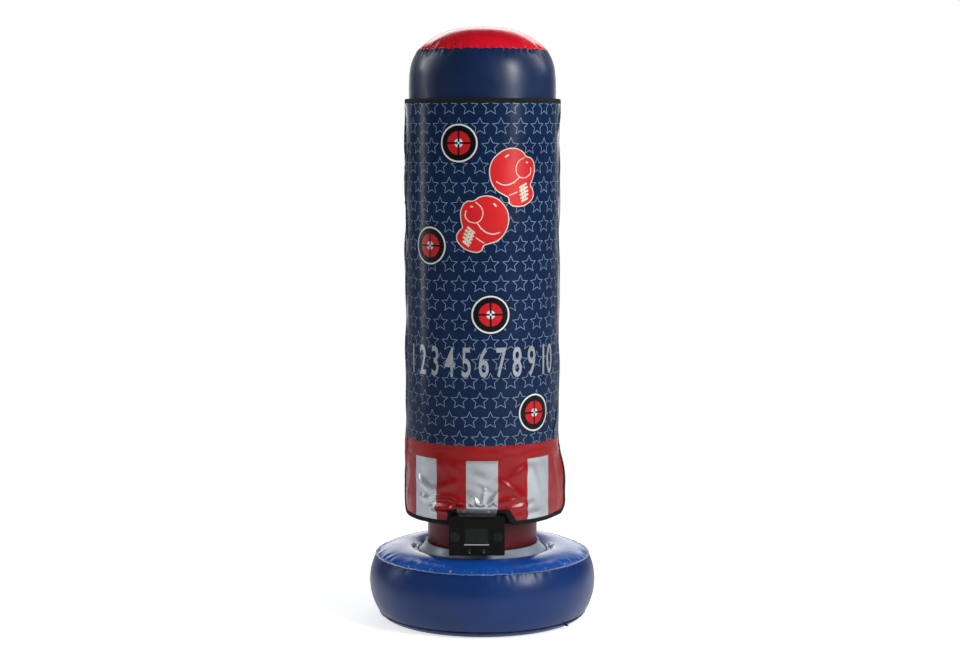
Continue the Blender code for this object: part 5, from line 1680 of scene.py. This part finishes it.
class Stage(bpy.types.Operator):
    """Set the pale floor, the soft studio light and the camera"""

    bl_idname = "boxing_bag.stage"
    bl_label = "Stage"

    LAMPS = (
        # name, place, aimed at, width, height, watts
        ("key", (3.0, -2.6, 2.5), (0.0, 0.0, 0.85), 1.0, 2.0, 122.0),
        ("fill", (-3.4, -2.6, 1.5), (0.0, 0.0, 0.7), 1.4, 2.2, 14.0),
        ("high_back", (0.0, 2.6, 2.7), (0.0, 0.0, 0.9), 2.6, 0.9, 15.0),
        ("low_back", (0.0, 3.2, 0.9), (0.0, 0.0, 0.3), 3.2, 1.3, 14.0),
        ("left_edge", (-2.6, 0.4, 1.3), (0.0, 0.0, 0.8), 0.2, 2.0, 8.0),
        ("left_sheen", (-1.9, 0.6, 2.3), (0.0, -0.2, 0.2), 0.5, 1.2, 16.0),
        ("right_sheen", (1.9, 0.6, 2.3), (0.0, -0.2, 0.2), 0.5, 1.2, 12.0),
    )

    EYE = (-0.006, -5.0, 1.25)
    TIPPED = 5.87  # degrees that the camera looks down
    LENS, SENSOR = 74.0, 36.0
    FADE = (0.9, 2.2)  # distances from the bag between which the floor fades to white
    GLOW = 0.66  # how bright the floor is for the camera, beyond the light that falls on it

    def execute(self, context):
        scene = context.scene
        scene.view_settings.view_transform = "Standard"
        self.floor()
        self.world(scene)
        for name, place, aim, width, height, watts in self.LAMPS:
            lamp = bpy.data.lights.new(name, "AREA")
            lamp.shape = "RECTANGLE"
            lamp.size, lamp.size_y, lamp.energy = width, height, watts
            holder = bpy.data.objects.new(name, lamp)
            holder.location = place
            holder.visible_camera = False
            holder.visible_glossy = name != "fill"
            holder.visible_diffuse = not name.endswith("sheen")
            way = Vector(aim) - Vector(place)
            holder.rotation_euler = way.to_track_quat("-Z", "Y").to_euler()
            scene.collection.objects.link(holder)
        camera = bpy.data.cameras.new("camera")
        camera.lens, camera.sensor_width = self.LENS, self.SENSOR
        eye = bpy.data.objects.new("camera", camera)
        eye.location = self.EYE
        eye.rotation_euler = (math.radians(90.0 - self.TIPPED), 0.0, 0.0)
        scene.collection.objects.link(eye)
        scene.camera = eye
        return {"FINISHED"}

    def floor(self):
        """A pale floor that keeps the bag's shadow and fades to white far from it."""
        bm = bmesh.new()
        bmesh.ops.create_grid(bm, x_segments=4, y_segments=4, size=14.0)
        mesh = bpy.data.meshes.new("floor")
        bm.to_mesh(mesh)
        bm.free()
        floor = bpy.data.objects.new("floor", mesh)
        bpy.context.scene.collection.objects.link(floor)
        material, tree, shader = new_finish("floor_paper")
        shader.inputs["Roughness"].default_value = 0.9
        shader.inputs["Emission Color"].default_value = (1.0, 1.0, 1.0, 1.0)
        place = place_of(tree, False)
        tint = ranged(tree, noise_at(tree, place, 3.0), 0.0, 1.0)
        paper = mix(tree, tint, (0.80, 0.80, 0.80, 1.0), (0.83, 0.83, 0.83, 1.0))
        tree.links.new(paper, shader.inputs["Base Color"])
        path = add_node(tree, "ShaderNodeLightPath")
        away = add_node(tree, "ShaderNodeVectorMath", {0: place}, operation="LENGTH").outputs["Value"]
        near = ranged(tree, away, 0.50, 0.0, 0.5, 1.7)
        seen = calculate(
            tree, "MAXIMUM", path.outputs["Is Glossy Ray"], path.outputs["Is Transmission Ray"]
        )
        mirrored = calculate(tree, "MULTIPLY", near, seen)
        viewed = calculate(tree, "MULTIPLY", path.outputs["Is Camera Ray"], self.GLOW)
        glow = calculate(tree, "MAXIMUM", mirrored, viewed)
        tree.links.new(glow, shader.inputs["Emission Strength"])
        white = add_node(tree, "ShaderNodeEmission", {"Strength": 1.0})
        faded = ranged(tree, away, 0.0, 1.0, *self.FADE)
        far = calculate(tree, "MULTIPLY", faded, path.outputs["Is Camera Ray"])
        blend = mix_shaders(tree, far, shader.outputs[0], white.outputs[0])
        tree.links.new(blend, tree.nodes["Material Output"].inputs["Surface"])
        mesh.materials.append(material)

    def world(self, scene):
        """White where the camera looks; reflections see it bright behind the bag and dim before it."""
        world = bpy.data.worlds.new("studio")
        scene.world = world
        world.use_nodes = True
        tree = world.node_tree
        light = tree.nodes["Background"]
        light.inputs["Color"].default_value = (0.90, 0.94, 1.0, 1.0)
        light.inputs["Strength"].default_value = 0.26
        path = add_node(tree, "ShaderNodeLightPath")
        way = add_node(tree, "ShaderNodeTexCoord").outputs["Generated"]
        parts = add_node(tree, "ShaderNodeSeparateXYZ", {0: way})
        behind = ranged(tree, parts.outputs["Y"], 0.030, 1.0, 0.70, 1.00)
        high = ranged(tree, parts.outputs["Z"], 1.0, 0.10, 0.35, 0.80)
        strength = calculate(tree, "MULTIPLY", behind, high)
        studio = add_node(
            tree, "ShaderNodeBackground", {"Color": (0.96, 0.98, 1.0, 1.0), "Strength": strength}
        )
        white = add_node(
            tree, "ShaderNodeBackground", {"Color": (1.0, 1.0, 1.0, 1.0), "Strength": 1.0}
        )
        mirrored = calculate(
            tree, "MAXIMUM", path.outputs["Is Glossy Ray"], path.outputs["Is Transmission Ray"]
        )
        unseen = mix_shaders(tree, mirrored, light.outputs[0], studio.outputs[0])
        blend = mix_shaders(tree, path.outputs["Is Camera Ray"], unseen, white.outputs[0])
        tree.links.new(blend, tree.nodes["World Output"].inputs["Surface"])


class BagPanel(bpy.types.Panel):
    """Lists the bag's settings and the pieces to model"""

    bl_idname = "VIEW3D_PT_boxing_bag"
    bl_label = "Boxing Bag"
    bl_space_type = "VIEW_3D"
    bl_region_type = "UI"
    bl_category = "Boxing Bag"

    def draw(self, context):
        for group in (context.scene.bag_sizes, context.scene.bag_colours):
            box = self.layout.box()
            for name in group.__annotations__:
                box.prop(group, name)
        for operator in OPERATORS:
            self.layout.operator(operator.bl_idname)


OPERATORS = (
    Stage,
    BaseRing,
    Neck,
    Column,
    MatLayers,
    MatBinding,
    StarPrint,
    Targets,
    Gloves,
    CountPrint,
    Straps,
    Console,
    Hanger,
    Valves,
)
CLASSES = (BagSizes, BagColours, *OPERATORS, BagPanel)


def register():
    for cls in CLASSES:
        bpy.utils.register_class(cls)
    bpy.types.Scene.bag_sizes = PointerProperty(type=BagSizes)
    bpy.types.Scene.bag_colours = PointerProperty(type=BagColours)


def unregister():
    del bpy.types.Scene.bag_colours
    del bpy.types.Scene.bag_sizes
    for cls in reversed(CLASSES):
        bpy.utils.unregister_class(cls)


def main():
    register()
    for operator in OPERATORS:
        group, name = operator.bl_idname.split(".")
        getattr(getattr(bpy.ops, group), name)()


if __name__ == "__main__":
    main()
